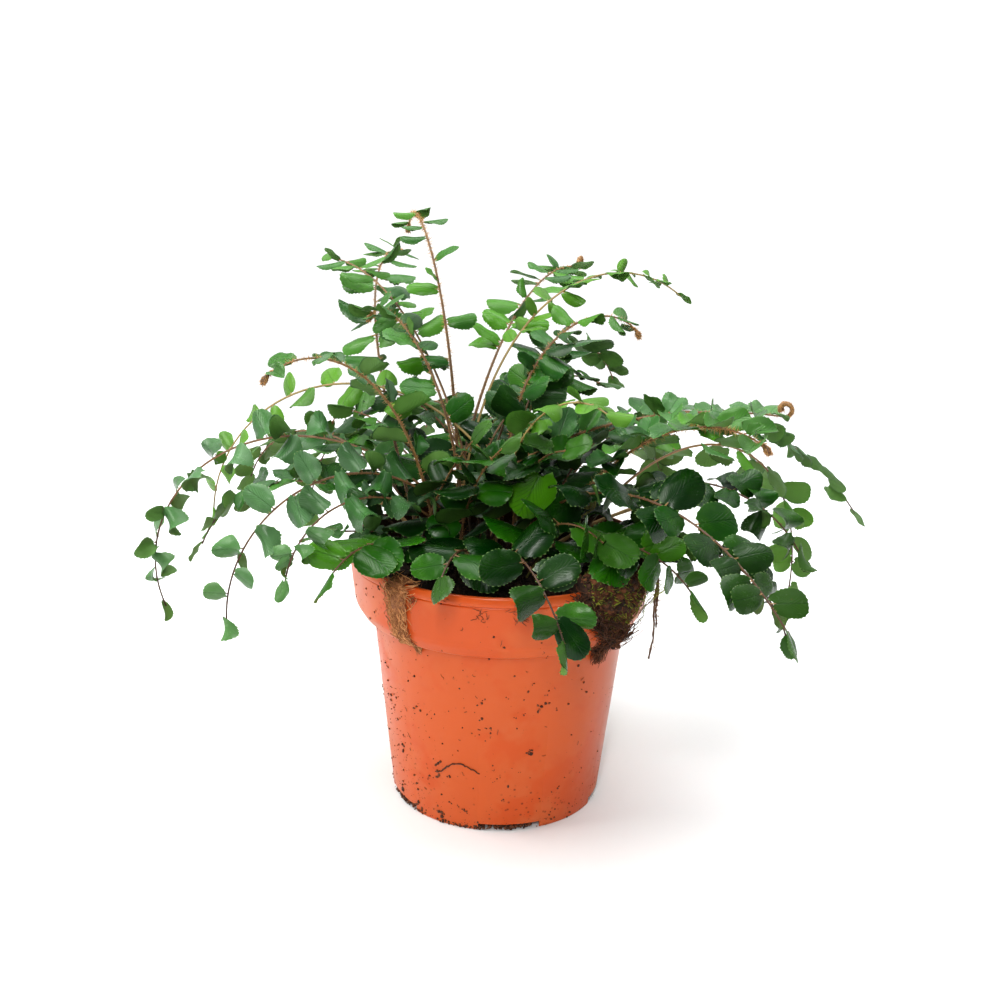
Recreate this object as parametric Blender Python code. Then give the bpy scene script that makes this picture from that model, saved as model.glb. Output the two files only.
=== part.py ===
"""Button fern (Pellaea rotundifolia) standing in a round 12 cm plastic nursery pot.

The pot is a thin turned shell on a notched foot. The growing medium fills it to just under the rim, with a
plain hole for each stalk. Every frond is one node: a wiry stalk with its leaflets fused on by their roots.
Metres in the scene, +Z up, origin at the middle of the pot's foot. The sizes below are in millimetres.
"""

import itertools
import math
import random
from dataclasses import dataclass

import bmesh
import bpy
from mathutils import Matrix, Vector
from mathutils.bvhtree import BVHTree

MM = 0.001
GAP = 0.35

# Pot
RIM_RADIUS = 60.0
POT_HEIGHT = 103.0
FOOT_RADIUS = 41.6
WALL = 1.2
STEP_HEIGHT = 76.8
STEP_RADIUS = 50.0
COLLAR_RADIUS = 57.2
FLOOR_HEIGHT = 3.6
PAD_RADIUS = 15.0
POT_STEPS = 30
SOIL_STEPS = 24
NOTCHES = 5
NOTCH_WIDTH = 24.0
NOTCH_HEIGHT = 2.4
NOTCH_HEADING = -82.0
DRAIN_RADIUS = 4.0
DRAIN_CIRCLE = 31.0
DRAIN_SIDES = 8

# Growing medium
SOIL_TOP = 94.0
SOIL_CROWN_RADIUS = 36.0
SOIL_EDGE_DROP = 1.0
HOLE_DEPTH = 6.0
HOLE_CLEARANCE = 0.55

# Stalks
STALK_SIDES = 3
STALK_RADIUS = 1.05
STALK_TIP_RADIUS = 0.8
ROUTE_STEPS = 48
SEGMENT = 28.0
FEWEST_SEGMENTS = 4
COIL_RADIUS = 3.9
COIL_END_RADIUS = 1.7
COIL_TURNS = 1.1
COIL_POINTS = 8
BUD_RADIUS = 1.5
BUD_LENGTH = 4.5

# Leaflets
BLADE = 0.62
BLADE_WIDTH = 0.74
BLADE_DROOP = 0.14
BLADE_CUP = 0.10
OUTLINE = ((0.0, 0.0), (0.22, 0.42), (0.74, 0.48), (1.0, 0.0), (0.74, -0.48), (0.22, -0.42))
BLADE_FACES = ((0, 1, 5), (1, 2, 5), (2, 4, 5), (2, 3, 4))
TILTS = (0, 12, -12, 24, -24, 38, -38, 55, -55)
SIZES = (1.0, 0.86, 0.72)
SWEEPS = (0, 18, -18)
TWISTS = (0, 25, -25)
TURNS = (0, 2, -2, 4, -4, 6, -6, 9, -9, 12, -12, 16, -16)
LIFTS = (0, 3, -3, 6, -6, 10, -10)


@dataclass(frozen=True)
class Frond:
    """One arching frond: where its stalk leaves the soil, how it bends, and what it carries."""

    name: str
    root: tuple  # x and y at the soil, mm
    heading: float  # degrees from +X towards +Y
    swing: float  # how far the heading turns by the tip
    rise: float  # elevation at the soil, degrees
    fall: float  # elevation at the tip
    bend: float  # above 1 the lower stalk stays straight
    length: float
    leaflets: int
    leaf: float  # longest leaflet
    bare: float  # share of the stalk below its leaflets
    roll: float = 0.0  # turns the leaflets about the stalk
    tip: str = "leaf"  # leaf, bud or coil
    young: bool = False
    face: float = 14.0  # turns the leaflets' upper sides towards the tip


# Fronds that the photograph shows, then those that fill the crown, then the side away from the camera.
FRONDS = (
    Frond("frond_left_long", (9, 7), 166, 8, 83, -88, 1.14, 198, 13, 14, 0.42, 35, young=True),
    Frond("frond_left_trailing", (-9, -1), 190, -9, 64, -112, 1.38, 194, 13, 17, 0.36, 20),
    Frond("frond_left_arched", (-23, -3), 207, 22, 81, -26, 2.34, 134, 9, 18, 0.30, -15, "bud"),
    Frond("frond_left_upright", (-13, 4), 160, -45, 83, -31, 2.46, 133, 9, 18, 0.34, 0, "bud"),
    Frond("frond_tall_hairy", (-16, 10), 125, -26, 85, -37, 2.44, 186, 9, 15, 0.42, 10, "bud"),
    Frond("frond_tall_left", (-29, 2), 124, -47, 53, -9, 1.81, 205, 11, 19, 0.45, -15, "bud"),
    Frond("frond_tall_outer", (-6, 9), 133, -5, 73, -5, 1.61, 167, 8, 17, 0.50),
    Frond("frond_left_hanging", (-14, -5), 211, 0, 82, -92, 1.05, 150, 13, 17, 0.24, 25),
    Frond("frond_left_inner", (-9, -8), 214, 12, 55, -80, 1.82, 114, 9, 18, 0.26, 15, face=26),
    Frond("frond_left_low", (-20, -10), 195, 9, 46, -10, 1.2, 58, 5, 16, 0.36),
    Frond("frond_left_mid", (-3, 6), 165, -11, 79, -71, 2.04, 118, 9, 17, 0.38, 10),
    Frond("frond_right_hairy", (-1, 12), 29, 0, 88, -45, 2.72, 133, 9, 16, 0.42, 10, "bud"),
    Frond("frond_right_coiled", (-22, 13), 67, 0, 72, -14, 1.27, 190, 9, 17, 0.48, 0, "coil"),
    Frond("frond_right_thin", (-19, 18), 60, -31, 86, -39, 1.78, 184, 10, 13, 0.48, young=True),
    Frond("frond_back_right", (-11, 15), 59, -3, 78, -57, 1.49, 159, 10, 17, 0.42),
    Frond("frond_right_short", (-18, 6), 36, -4, 88, -34, 2.10, 111, 8, 17, 0.42),
    Frond("frond_pale_centre", (-3, -10), -20, -20, 86, -30, 2.6, 102, 7, 17, 0.55, young=True, face=10),
    Frond("frond_big_arch", (11, -7), -26, -31, 61, -13, 1.81, 136, 10, 18, 0.40, 0, "bud"),
    Frond("frond_right_drooping", (24, -2), 38, 3, 55, -109, 1.15, 215, 13, 19, 0.34, -20),
    Frond("frond_right_outer", (-6, 15), 36, -19, 72, -54, 0.72, 226, 14, 18, 0.30),
    Frond("frond_right_level", (-25, 9), 4, -11, 78, -1, 0.53, 160, 12, 18, 0.26, 0, "coil"),
    Frond("frond_front_right", (2, -1), -49, -8, 69, -40, 0.81, 172, 12, 22, 0.30, face=30),
    Frond("frond_front_over_rim", (-5, -15), -78, 16, 58, -52, 1.0, 92, 8, 19, 0.22, face=38),
    Frond("crozier_right", (10, -13), -10, -2, 62, 35, 1.3, 38, 0, 0, 1.0, 0, "coil", young=True),
    Frond("frond_front_left_upright", (-33, -10), -30, -2, 80, 50, 1.17, 62, 7, 19, 0.24, face=40),
    Frond("frond_front_upright", (-17, -18), -51, 3, 86, 40, 1.41, 64, 7, 19, 0.26, face=40),
    Frond("frond_heart", (6, -18), -55, 10, 72, -30, 1.5, 62, 7, 24, 0.24, face=44),
    Frond("frond_front_glossy", (18, -14), -48, 14, 58, -48, 1.2, 78, 8, 21, 0.22, face=40),
    Frond("frond_front_left_glossy", (-27, -20), -132, 12, 60, -34, 1.2, 66, 7, 20, 0.20, face=40),
    Frond("frond_front_mid", (-8, -23), -106, 0, 66, -30, 1.2, 56, 7, 20, 0.20, face=40),
    Frond("frond_right_mid", (22, 4), -8, -16, 66, -58, 1.2, 118, 8, 19, 0.30, face=24),
    Frond("frond_right_low", (24, -9), -24, 12, 50, -72, 1.1, 108, 7, 18, 0.30, face=30),
    Frond("frond_crown_front", (3, -7), -70, 20, 84, 12, 1.8, 72, 9, 21, 0.26, face=42),
    Frond("frond_crown_left", (-18, 1), 180, -20, 80, 6, 1.8, 78, 9, 18, 0.34, face=26),
    Frond("frond_crown_right", (14, 1), 10, 18, 80, -4, 1.8, 82, 9, 18, 0.34, face=24),
    Frond("frond_crown_back", (0, 19), 86, -20, 80, 2, 1.8, 84, 9, 18, 0.34),
    Frond("frond_crown_middle", (-3, 1), 40, 30, 86, 20, 2.0, 88, 9, 18, 0.36, face=-30),
    Frond("frond_back_1", (14, 14), 52, 8, 62, -84, 1.2, 146, 7, 19, 0.30),
    Frond("frond_back_2", (8, 22), 74, -6, 64, -60, 1.3, 126, 8, 18, 0.30),
    Frond("frond_back_3", (-2, 25), 92, 5, 60, -92, 1.2, 156, 7, 19, 0.28),
    Frond("frond_back_4", (-12, 22), 108, -6, 66, -58, 1.4, 122, 8, 18, 0.30),
    Frond("frond_back_5", (-20, 23), 126, 7, 58, -88, 1.2, 150, 7, 19, 0.28),
    Frond("frond_back_6", (-29, 15), 146, -6, 60, -66, 1.3, 130, 7, 18, 0.30),
    Frond("frond_back_left", (-33, 7), 166, 12, 56, -70, 1.2, 112, 7, 17, 0.28),
    Frond("crozier_back", (4, 11), 70, 0, 84, 40, 1.6, 74, 0, 0, 1.0, 0, "coil", young=True),
)

# What hangs over the rim
MOSS_FROM, MOSS_TO = -61.0, -33.0
MOSS_LOWEST, MOSS_PROUD = 75.0, 6.0
FIBRE_FROM, FIBRE_TO = -133.5, -123.5
FIBRE_LOWEST, FIBRE_PROUD = 80.0, 2.4
STRAND_HEADING = -17.0
STRAND_RADIUS = 0.5
STRAND_SIDES = 3
HOOK_STATIONS = 6


def finish(name, colour, roughness, metallic=0.0):
    """A Principled material of one colour."""
    material = bpy.data.materials.new(name)
    material.use_nodes = True
    shader = material.node_tree.nodes["Principled BSDF"]
    shader.inputs["Base Color"].default_value = (*colour, 1.0)
    shader.inputs["Roughness"].default_value = roughness
    shader.inputs["Metallic"].default_value = metallic
    return material


def add_object(name, mesh, material):
    """A mesh linked to the scene with its one material."""
    mesh.materials.clear()
    mesh.materials.append(material)
    made = bpy.data.objects.new(name, mesh)
    bpy.context.scene.collection.objects.link(made)
    return made


def add_shape(name, shape, material):
    """An object from (points in mm, faces), with its faces turned outwards."""
    mesh = bpy.data.meshes.new(name)
    mesh.from_pydata([Vector(point) * MM for point in shape[0]], [], shape[1])
    bm = bmesh.new()
    bm.from_mesh(mesh)
    bmesh.ops.recalc_face_normals(bm, faces=bm.faces[:])
    bm.to_mesh(mesh)
    bm.free()
    return add_object(name, mesh, material)


def turned(name, profile, steps, material):
    """A solid of revolution about Z from (radius, height) points in mm, both ends on the axis."""
    bm = bmesh.new()
    verts = [bm.verts.new((radius * MM, 0.0, height * MM)) for radius, height in profile]
    edges = [bm.edges.new(pair) for pair in zip(verts, verts[1:])]
    bmesh.ops.spin(
        bm, geom=verts + edges, cent=(0, 0, 0), axis=(0, 0, 1), angle=math.tau, steps=steps, use_merge=True
    )
    bmesh.ops.remove_doubles(bm, verts=bm.verts[:], dist=1e-6)
    bmesh.ops.recalc_face_normals(bm, faces=bm.faces[:])
    mesh = bpy.data.meshes.new(name)
    bm.to_mesh(mesh)
    bm.free()
    return add_object(name, mesh, material)


def combine(base, shapes, operation):
    """One Boolean of base with a collection of shapes, applied, and the collection's objects removed."""
    if not shapes:
        return base
    group = bpy.data.collections.new("boolean_shapes")
    bpy.context.scene.collection.children.link(group)
    for shape in shapes:
        tool = add_shape("boolean_shape", shape, base.data.materials[0])
        bpy.context.scene.collection.objects.unlink(tool)
        group.objects.link(tool)
    plain = base.data
    for solver in ("EXACT", "MANIFOLD"):
        modifier = base.modifiers.new("join", "BOOLEAN")
        modifier.operation = operation
        modifier.operand_type = "COLLECTION"
        modifier.collection = group
        modifier.solver = solver
        graph = bpy.context.evaluated_depsgraph_get()
        mesh = bpy.data.meshes.new_from_object(base.evaluated_get(graph))
        base.modifiers.clear()
        base.data = mesh
        keep_one_body(base)
        if is_closed(base):
            break
        base.data = plain
    for tool in list(group.objects):
        bpy.data.objects.remove(tool)
    bpy.data.collections.remove(group)
    return base


def is_closed(made):
    """Whether every edge of the mesh lies between two faces."""
    bm = bmesh.new()
    bm.from_mesh(made.data)
    closed = all(edge.is_manifold for edge in bm.edges)
    bm.free()
    return closed


def keep_one_body(made):
    """Drops loose scraps, so that the node is its largest connected piece."""
    bm = bmesh.new()
    bm.from_mesh(made.data)
    unseen = set(bm.verts)
    bodies = []
    while unseen:
        body, edge_of_body = set(), [unseen.pop()]
        while edge_of_body:
            vert = edge_of_body.pop()
            body.add(vert)
            for edge in vert.link_edges:
                other = edge.other_vert(vert)
                if other in unseen:
                    unseen.discard(other)
                    edge_of_body.append(other)
        bodies.append(body)
    bodies.sort(key=len)
    for scrap in bodies[:-1]:
        bmesh.ops.delete(bm, geom=list(scrap), context="VERTS")
    bm.to_mesh(made.data)
    bm.free()


def direction(heading, elevation):
    """The unit vector that points at a heading and an elevation in degrees."""
    heading, elevation = math.radians(heading), math.radians(elevation)
    level = math.cos(elevation)
    return Vector((level * math.cos(heading), level * math.sin(heading), math.sin(elevation)))


def tube(points, radii, sides):
    """A closed tube of (points, faces) along points, its rings carried along without twisting."""
    verts, faces = [], []
    ahead = (points[1] - points[0]).normalized()
    across = ahead.cross(Vector((0, 0, 1)))
    across = (across if across.length > 0.05 else ahead.cross(Vector((0, 1, 0)))).normalized()
    for index, point in enumerate(points):
        before = points[max(index - 1, 0)]
        after = points[min(index + 1, len(points) - 1)]
        turn = ahead.rotation_difference((after - before).normalized())
        ahead, across = turn @ ahead, turn @ across
        for side in range(sides):
            spoke = Matrix.Rotation(math.tau * (side + 0.5) / sides, 3, ahead) @ across
            verts.append(point + spoke * radii[index])
    for ring in range(len(points) - 1):
        for side in range(sides):
            beside = (side + 1) % sides
            low, high = ring * sides, (ring + 1) * sides
            faces.append((low + side, low + beside, high + beside, high + side))
    faces.append(tuple(reversed(range(sides))))
    faces.append(tuple(range(len(verts) - sides, len(verts))))
    return verts, faces


class Space:
    """What is already in place, to find whether a new shape would come too near it."""

    def __init__(self):
        self.taken = []

    def add(self, shape, owner=""):
        self.taken.append((owner, *box_of(shape), BVHTree.FromPolygons(*shape)))

    def has_room(self, shape, leave_out="none"):
        low, high = box_of(shape)
        tree = None
        for owner, other_low, other_high, other in self.taken:
            if owner == leave_out:
                continue
            if all(low[i] <= other_high[i] and other_low[i] <= high[i] for i in range(3)):
                tree = tree or BVHTree.FromPolygons(*shape)
                if tree.overlap(other):
                    return False
        return True


def box_of(shape):
    """The lowest and the highest corner of a shape."""
    columns = list(zip(*shape[0]))
    return [min(column) for column in columns], [max(column) for column in columns]


def shape_of(made):
    """(points in mm, faces) of an object."""
    points = [made.matrix_world @ vert.co / MM for vert in made.data.vertices]
    return points, [tuple(face.vertices) for face in made.data.polygons]


def pot():
    """The pot: a turned shell with a stepped collar and a rolled lip, a notched foot and drain holes."""
    inside = WALL
    profile = (
        (0, 0),
        (PAD_RADIUS, 0),
        (PAD_RADIUS + 1.2, FLOOR_HEIGHT),
        (FOOT_RADIUS - 1.5, FLOOR_HEIGHT),
        (FOOT_RADIUS - 1.4, 0),
        (FOOT_RADIUS, 0),
        (STEP_RADIUS, STEP_HEIGHT),
        (STEP_RADIUS + 4.4, STEP_HEIGHT + 1.4),
        (COLLAR_RADIUS, STEP_HEIGHT + 5.4),
        (RIM_RADIUS - 1.0, POT_HEIGHT - 4.2),
        (RIM_RADIUS, POT_HEIGHT - 3.2),
        (RIM_RADIUS - 0.4, POT_HEIGHT),
        (RIM_RADIUS - 2.2, POT_HEIGHT),
        (COLLAR_RADIUS - inside, STEP_HEIGHT + 6.4),
        (COLLAR_RADIUS - inside - 1.2, STEP_HEIGHT + 4.2),
        (STEP_RADIUS - inside + 0.2, STEP_HEIGHT + 1.6),
        (FOOT_RADIUS - inside + 0.4, FLOOR_HEIGHT + inside),
        (PAD_RADIUS + 2.2, FLOOR_HEIGHT + inside),
        (PAD_RADIUS + 0.8, inside),
        (0, inside),
    )
    made = turned("pot", profile, POT_STEPS, finish("pot_plastic", (0.60, 0.13, 0.045), 0.32))
    cutters = []
    for index in range(NOTCHES):
        heading = NOTCH_HEADING + index * 360 / NOTCHES
        out, beside = direction(heading, 0), direction(heading + 90, 0)
        corners = []
        for height in (-1.0, NOTCH_HEIGHT):
            for radius, side in ((36, -1), (46, -1), (46, 1), (36, 1)):
                corners.append(out * radius + beside * side * NOTCH_WIDTH / 2 + Vector((0, 0, height)))
        faces = [(0, 1, 2, 3), (4, 5, 6, 7)]
        faces += [(side, (side + 1) % 4, (side + 1) % 4 + 4, side + 4) for side in range(4)]
        cutters.append((corners, faces))
        centre = direction(heading + 180 / NOTCHES, 0) * DRAIN_CIRCLE
        column = [centre + Vector((0, 0, 1)), centre + Vector((0, 0, 8))]
        cutters.append(tube(column, [DRAIN_RADIUS] * 2, DRAIN_SIDES))
    made = combine(made, cutters, "DIFFERENCE")
    made.data.shade_smooth()
    made.data.set_sharp_from_angle(angle=math.radians(35))
    return made


def soil(stalks):
    """The growing medium, a gap inside the pot's wall and floor, with a plain hole for each stalk."""
    gap = GAP + WALL
    profile = (
        (0, WALL + GAP),
        (PAD_RADIUS + 0.3, WALL + GAP),
        (PAD_RADIUS + 1.8, FLOOR_HEIGHT + gap),
        (FOOT_RADIUS - gap, FLOOR_HEIGHT + gap),
        (STEP_RADIUS - gap - 0.3, STEP_HEIGHT + 1.6),
        (COLLAR_RADIUS - gap - 1.7, STEP_HEIGHT + 4.9),
        (COLLAR_RADIUS - gap - 0.2, SOIL_TOP - SOIL_EDGE_DROP),
        (SOIL_CROWN_RADIUS, SOIL_TOP),
        (0, SOIL_TOP),
    )
    made = turned("growing_medium", profile, SOIL_STEPS, finish("peat", (0.030, 0.018, 0.012), 0.95))
    holes = []
    for stalk in stalks:
        below, surface = stalk.points[0], stalk.points[1]
        ahead = (surface - below).normalized()
        ends = [below - ahead * HOLE_CLEARANCE, surface + ahead * 4.0]
        holes.append(tube(ends, [STALK_RADIUS + HOLE_CLEARANCE] * 2, STALK_SIDES))
    return combine(made, holes, "DIFFERENCE")


def over_rim(name, start, end, lowest, proud, material):
    """A clump that sits on the soil's edge and hangs over the rim, thinning to both ends."""
    verts, faces = [], []
    for station in range(HOOK_STATIONS):
        share = station / (HOOK_STATIONS - 1)
        swell = 0.45 + 0.55 * math.sin(math.pi * (0.12 + 0.76 * share)) ** 0.7
        wave = 0.5 + 0.5 * math.cos(2.3 * math.pi * share + 0.6)
        out = proud * swell
        low = lowest + (POT_HEIGHT - lowest) * 0.55 * (1 - swell) + 5.0 * wave
        heading = start + (end - start) * share
        section = (
            (48.0, SOIL_TOP + 0.6),
            (RIM_RADIUS - 3.6, SOIL_TOP + 1.0),
            (RIM_RADIUS - 2.9, POT_HEIGHT + GAP),
            (RIM_RADIUS + 0.5, POT_HEIGHT + GAP),
            (RIM_RADIUS + 0.4, POT_HEIGHT - 3.8),
            (COLLAR_RADIUS + 1.4 + (low - 84) * 0.06, low),
            (RIM_RADIUS + 0.6 + out, 0.35 * low + 0.65 * POT_HEIGHT),
            (RIM_RADIUS + 0.8 + out * 0.6, POT_HEIGHT + 0.5 + 0.4 * out),
            (RIM_RADIUS - 2.0, POT_HEIGHT + 0.8 + 0.8 * out),
            (50.0, SOIL_TOP + 3.0 + 0.9 * out),
        )
        for radius, height in section:
            verts.append(direction(heading, 0) * radius + Vector((0, 0, height)))
    count = len(section)
    for station in range(HOOK_STATIONS - 1):
        for corner in range(count):
            beside = (corner + 1) % count
            low, high = station * count, (station + 1) * count
            faces.append((low + corner, low + beside, high + beside, high + corner))
    faces.append(tuple(reversed(range(count))))
    faces.append(tuple(range(len(verts) - count, len(verts))))
    return add_shape(name, (verts, faces), material)


def root_strands(material):
    """Fine roots that leave the soil, cross the rim and hang free of the pot, forked at the rim."""
    out = direction(STRAND_HEADING, 0)
    beside = direction(STRAND_HEADING - 90, 0)

    def strand(places):
        points = [out * radius + beside * side + Vector((0, 0, height)) for radius, side, height in places]
        return tube(points, [STRAND_RADIUS] * len(points), STRAND_SIDES)

    long_one = strand(
        ((49, -3, 94.9), (55.5, -2, 95.6), (57, -1, 104.0), (61, 0, 104.2), (62.2, 0.6, 96), (61.6, 1.2, 84),
         (62.4, 0.4, 73), (61.2, -0.6, 63))
    )
    short_one = strand(((57.2, -1.1, 103.9), (61, -3, 104.1), (62.3, -4.2, 95), (61.4, -4.8, 84), (62.4, -3.8, 75)))
    return combine(add_shape("root_strands", long_one, material), [short_one], "UNION")


class Stalk:
    """A frond's stalk: its arch at a heading and a rise near those asked for, and its rings."""

    def __init__(self, frond, turn=0.0, lift=0.0):
        self.frond = frond
        step = frond.length / ROUTE_STEPS
        fine = [Vector((*frond.root, SOIL_TOP))]
        headings = []
        for index in range(ROUTE_STEPS + 1):
            share = index / ROUTE_STEPS
            elevation = frond.rise + lift + (frond.fall - frond.rise - lift) * share**frond.bend
            heading = frond.heading + turn + frond.swing * share
            headings.append(direction(heading, elevation))
            if index:
                fine.append(fine[-1] + (headings[-2] + headings[-1]) / 2 * step)
        segments = max(FEWEST_SEGMENTS, round(frond.length / SEGMENT))
        picks = [round(ROUTE_STEPS * k / segments) for k in range(segments + 1)]
        self.points = [fine[0] - headings[0] * HOLE_DEPTH] + [fine[k] for k in picks]
        shares = [0.0] + [k / ROUTE_STEPS for k in picks]
        self.radii = [STALK_RADIUS + (STALK_TIP_RADIUS - STALK_RADIUS) * share for share in shares]
        self.arch = list(self.points[1:])
        self.level = direction(frond.heading + turn + frond.swing, 0)
        self.add_tip(headings[-1])

    def add_tip(self, ahead):
        """The young end of the stalk: a scaly bud, or a coiled crozier."""
        if self.frond.tip == "bud":
            start = self.points[-1]
            for share, radius in ((0.3, BUD_RADIUS), (0.75, BUD_RADIUS * 0.9), (1.0, BUD_RADIUS * 0.35)):
                self.points.append(start + ahead * BUD_LENGTH * share)
                self.radii.append(radius)
        elif self.frond.tip == "coil":
            outward = self.level.cross(Vector((0, 0, 1))).cross(ahead).normalized()
            outward = outward if outward.z > 0 else -outward
            for index in range(1, COIL_POINTS + 1):
                share = index / COIL_POINTS
                angle = math.tau * COIL_TURNS * share
                radius = COIL_RADIUS + (COIL_END_RADIUS - COIL_RADIUS) * share
                centre = self.arch[-1] + outward * COIL_RADIUS
                self.points.append(centre + (ahead * math.sin(angle) - outward * math.cos(angle)) * radius)
                self.radii.append(STALK_TIP_RADIUS)

    def shape(self, extra=0.0, start=0):
        """The stalk's tube, fatter by extra all round, from the ring of that number."""
        return tube(self.points[start:], [radius + extra for radius in self.radii[start:]], STALK_SIDES)

    def at(self, share):
        """The place, the direction ahead and the outward side of the arch at a share of its length."""
        reach = min(max(share, 0.0), 0.999) * (len(self.arch) - 1)
        index = int(reach)
        first, second = self.arch[index], self.arch[index + 1]
        ahead = (second - first).normalized()
        outward = ahead.cross(Vector((0, 0, 1)).cross(self.level)).normalized()
        return first.lerp(second, reach - index), ahead, outward


def blade(place, ahead, outward, side, pose, length, extra=0.0):
    """A leaflet's closed blade, its root on the stalk's axis.

    pose holds the tilt towards outward, the sweep towards the tip and the twist about its own rib, in degrees.
    extra makes it thicker and wider all round.
    """
    tilt, sweep, twist = (math.radians(angle) for angle in pose)
    sideways = ahead.cross(outward) * side
    rib = sideways * math.cos(sweep) + ahead * math.sin(sweep)
    lean = Matrix.Rotation(-side * tilt, 3, ahead)
    rib, normal = lean @ rib, lean @ outward
    normal = Matrix.Rotation(twist, 3, rib) @ normal
    across = normal.cross(rib)
    width = length * BLADE_WIDTH
    rim = []
    for along, beside in OUTLINE:
        rise = BLADE_CUP * length * (4 * beside * beside) - BLADE_DROOP * length * along * along
        grow = extra if along > 0 else 0.0
        out = Vector((along - 0.45, beside)).normalized() * grow
        rim.append(
            place + rib * (along * length + out.x) + across * (beside * width + out.y) + normal * rise
        )
    half = normal * (BLADE / 2 + extra)
    count = len(rim)
    verts = [point + half for point in rim] + [point - half for point in rim]
    faces = [face for face in BLADE_FACES]
    faces += [tuple(count + corner for corner in reversed(face)) for face in BLADE_FACES]
    for corner in range(count):
        beside = (corner + 1) % count
        faces.append((beside, corner, count + corner))
        faces.append((beside, count + corner, count + beside))
    return verts, faces


def leaflet_plan(frond):
    """For each leaflet: its share of the arch, its side, its own tilt, sweep and twist, and its length."""
    draw = random.Random(frond.name)
    plan = []
    for index in range(frond.leaflets):
        share = index / max(frond.leaflets - 1, 1)
        last = index == frond.leaflets - 1 and frond.tip == "leaf"
        place = frond.bare + (0.985 - frond.bare) * share**0.92
        side = 1 if index % 2 else -1
        tilt = frond.roll * side + draw.uniform(-8, 26)
        sweep = 82.0 if last else draw.uniform(8, 30)
        twist = draw.uniform(-20, 20) - side * frond.face
        length = frond.leaf * (1 - 0.38 * share**2) * (0.88 + 0.12 * min(1, share / 0.2))
        plan.append((place, side, (tilt, sweep, twist), length * draw.uniform(0.92, 1.06)))
    return plan


def choices():
    """The ways to bend a leaflet clear of its neighbours, the smallest change first."""
    ways = itertools.product(TILTS, SIZES, SWEEPS, TWISTS)

    def change(way):
        tilt, size, sweep, twist = way
        return abs(tilt) / 14 + (1 - size) * 12 + abs(sweep) / 18 + abs(twist) / 24

    return sorted(ways, key=change)


def place_stalks(space):
    """Every stalk, turned or lifted a few degrees where it would meet an earlier one."""
    stalks = []
    for frond in FRONDS:
        for lift, turn in sorted(itertools.product(LIFTS, TURNS), key=lambda way: abs(way[0]) + abs(way[1])):
            stalk = Stalk(frond, turn, lift)
            if space.has_room(stalk.shape(GAP)):
                break
        else:
            print("no room for the stalk of", frond.name)
        space.add(stalk.shape(), frond.name)
        stalks.append(stalk)
    return stalks


def place_leaflets(stalk, space, ways):
    """The stalk's leaflets, each bent clear of what stands near it. One with no room is left off."""
    blades = []
    own = Space()
    for share, side, pose, length in leaflet_plan(stalk.frond):
        place, ahead, outward = stalk.at(share)
        for tilt, size, sweep, twist in ways:
            turned_pose = (pose[0] + tilt, pose[1] + sweep, pose[2] + twist)
            fat = blade(place, ahead, outward, side, turned_pose, length * size, GAP)
            if own.has_room(fat) and space.has_room(fat, stalk.frond.name):
                blades.append(blade(place, ahead, outward, side, turned_pose, length * size))
                own.add(blades[-1])
                break
    return blades


def main():
    for leftover in list(bpy.data.objects):
        bpy.data.objects.remove(leftover)
    space = Space()
    space.add(shape_of(pot()))
    moss = finish("moss_and_peat", (0.060, 0.045, 0.018), 0.95)
    fibre = finish("coir_fibre", (0.28, 0.13, 0.055), 0.9)
    space.add(shape_of(over_rim("moss_clump", MOSS_FROM, MOSS_TO, MOSS_LOWEST, MOSS_PROUD, moss)))
    space.add(shape_of(over_rim("fibre_tuft", FIBRE_FROM, FIBRE_TO, FIBRE_LOWEST, FIBRE_PROUD, fibre)))
    space.add(shape_of(root_strands(finish("root", (0.10, 0.06, 0.035), 0.9))))
    stalks = place_stalks(space)
    ground = soil(stalks)
    space.add(shape_of(ground))
    ways = choices()
    dark = (0.030, 0.095, 0.022)
    pale = (0.075, 0.19, 0.035)
    for stalk in stalks:
        frond = stalk.frond
        colour = finish(frond.name + "_green", pale if frond.young else dark, 0.4)
        blades = place_leaflets(stalk, space, ways)
        combine(add_shape(frond.name, stalk.shape(), colour), blades, "UNION")
        for shape in blades:
            space.add(shape, frond.name)


main()
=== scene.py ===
"""Looks of the potted button fern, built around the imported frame.

Every frond of the frame is replaced by a finer one on the same arch, with its leaflets where the frame has
them and further ones where there is room. The leaflets have toothed edges, veins and a little wave, and the
stalks have bristles. The pot, the growing medium and what hangs over the rim are replaced in the same way.
Sizes are in millimetres until a mesh is made.
"""

import itertools  # noqa: E402
import logging  # noqa: E402
import math  # noqa: E402
import random  # noqa: E402
from dataclasses import dataclass, field  # noqa: E402
from enum import Enum  # noqa: E402

import bpy  # noqa: E402
import numpy as np  # noqa: E402
from mathutils import Matrix, Vector, noise  # noqa: E402
from mathutils.bvhtree import BVHTree  # noqa: E402


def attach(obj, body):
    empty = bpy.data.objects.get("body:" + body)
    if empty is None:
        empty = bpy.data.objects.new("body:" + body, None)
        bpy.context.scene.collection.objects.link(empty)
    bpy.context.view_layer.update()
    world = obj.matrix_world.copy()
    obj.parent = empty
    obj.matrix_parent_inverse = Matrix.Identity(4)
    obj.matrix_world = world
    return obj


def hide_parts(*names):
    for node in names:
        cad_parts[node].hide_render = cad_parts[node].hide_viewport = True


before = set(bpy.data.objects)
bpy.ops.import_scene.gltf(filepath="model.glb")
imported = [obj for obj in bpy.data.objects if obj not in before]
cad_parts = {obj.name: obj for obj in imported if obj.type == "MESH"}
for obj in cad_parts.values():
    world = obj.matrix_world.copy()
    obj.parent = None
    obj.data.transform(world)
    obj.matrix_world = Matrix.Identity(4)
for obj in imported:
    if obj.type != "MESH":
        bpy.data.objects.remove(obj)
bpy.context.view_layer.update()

log = logging.getLogger("potted_fern")
MM = 0.001
UP = Vector((0, 0, 1))

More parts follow.
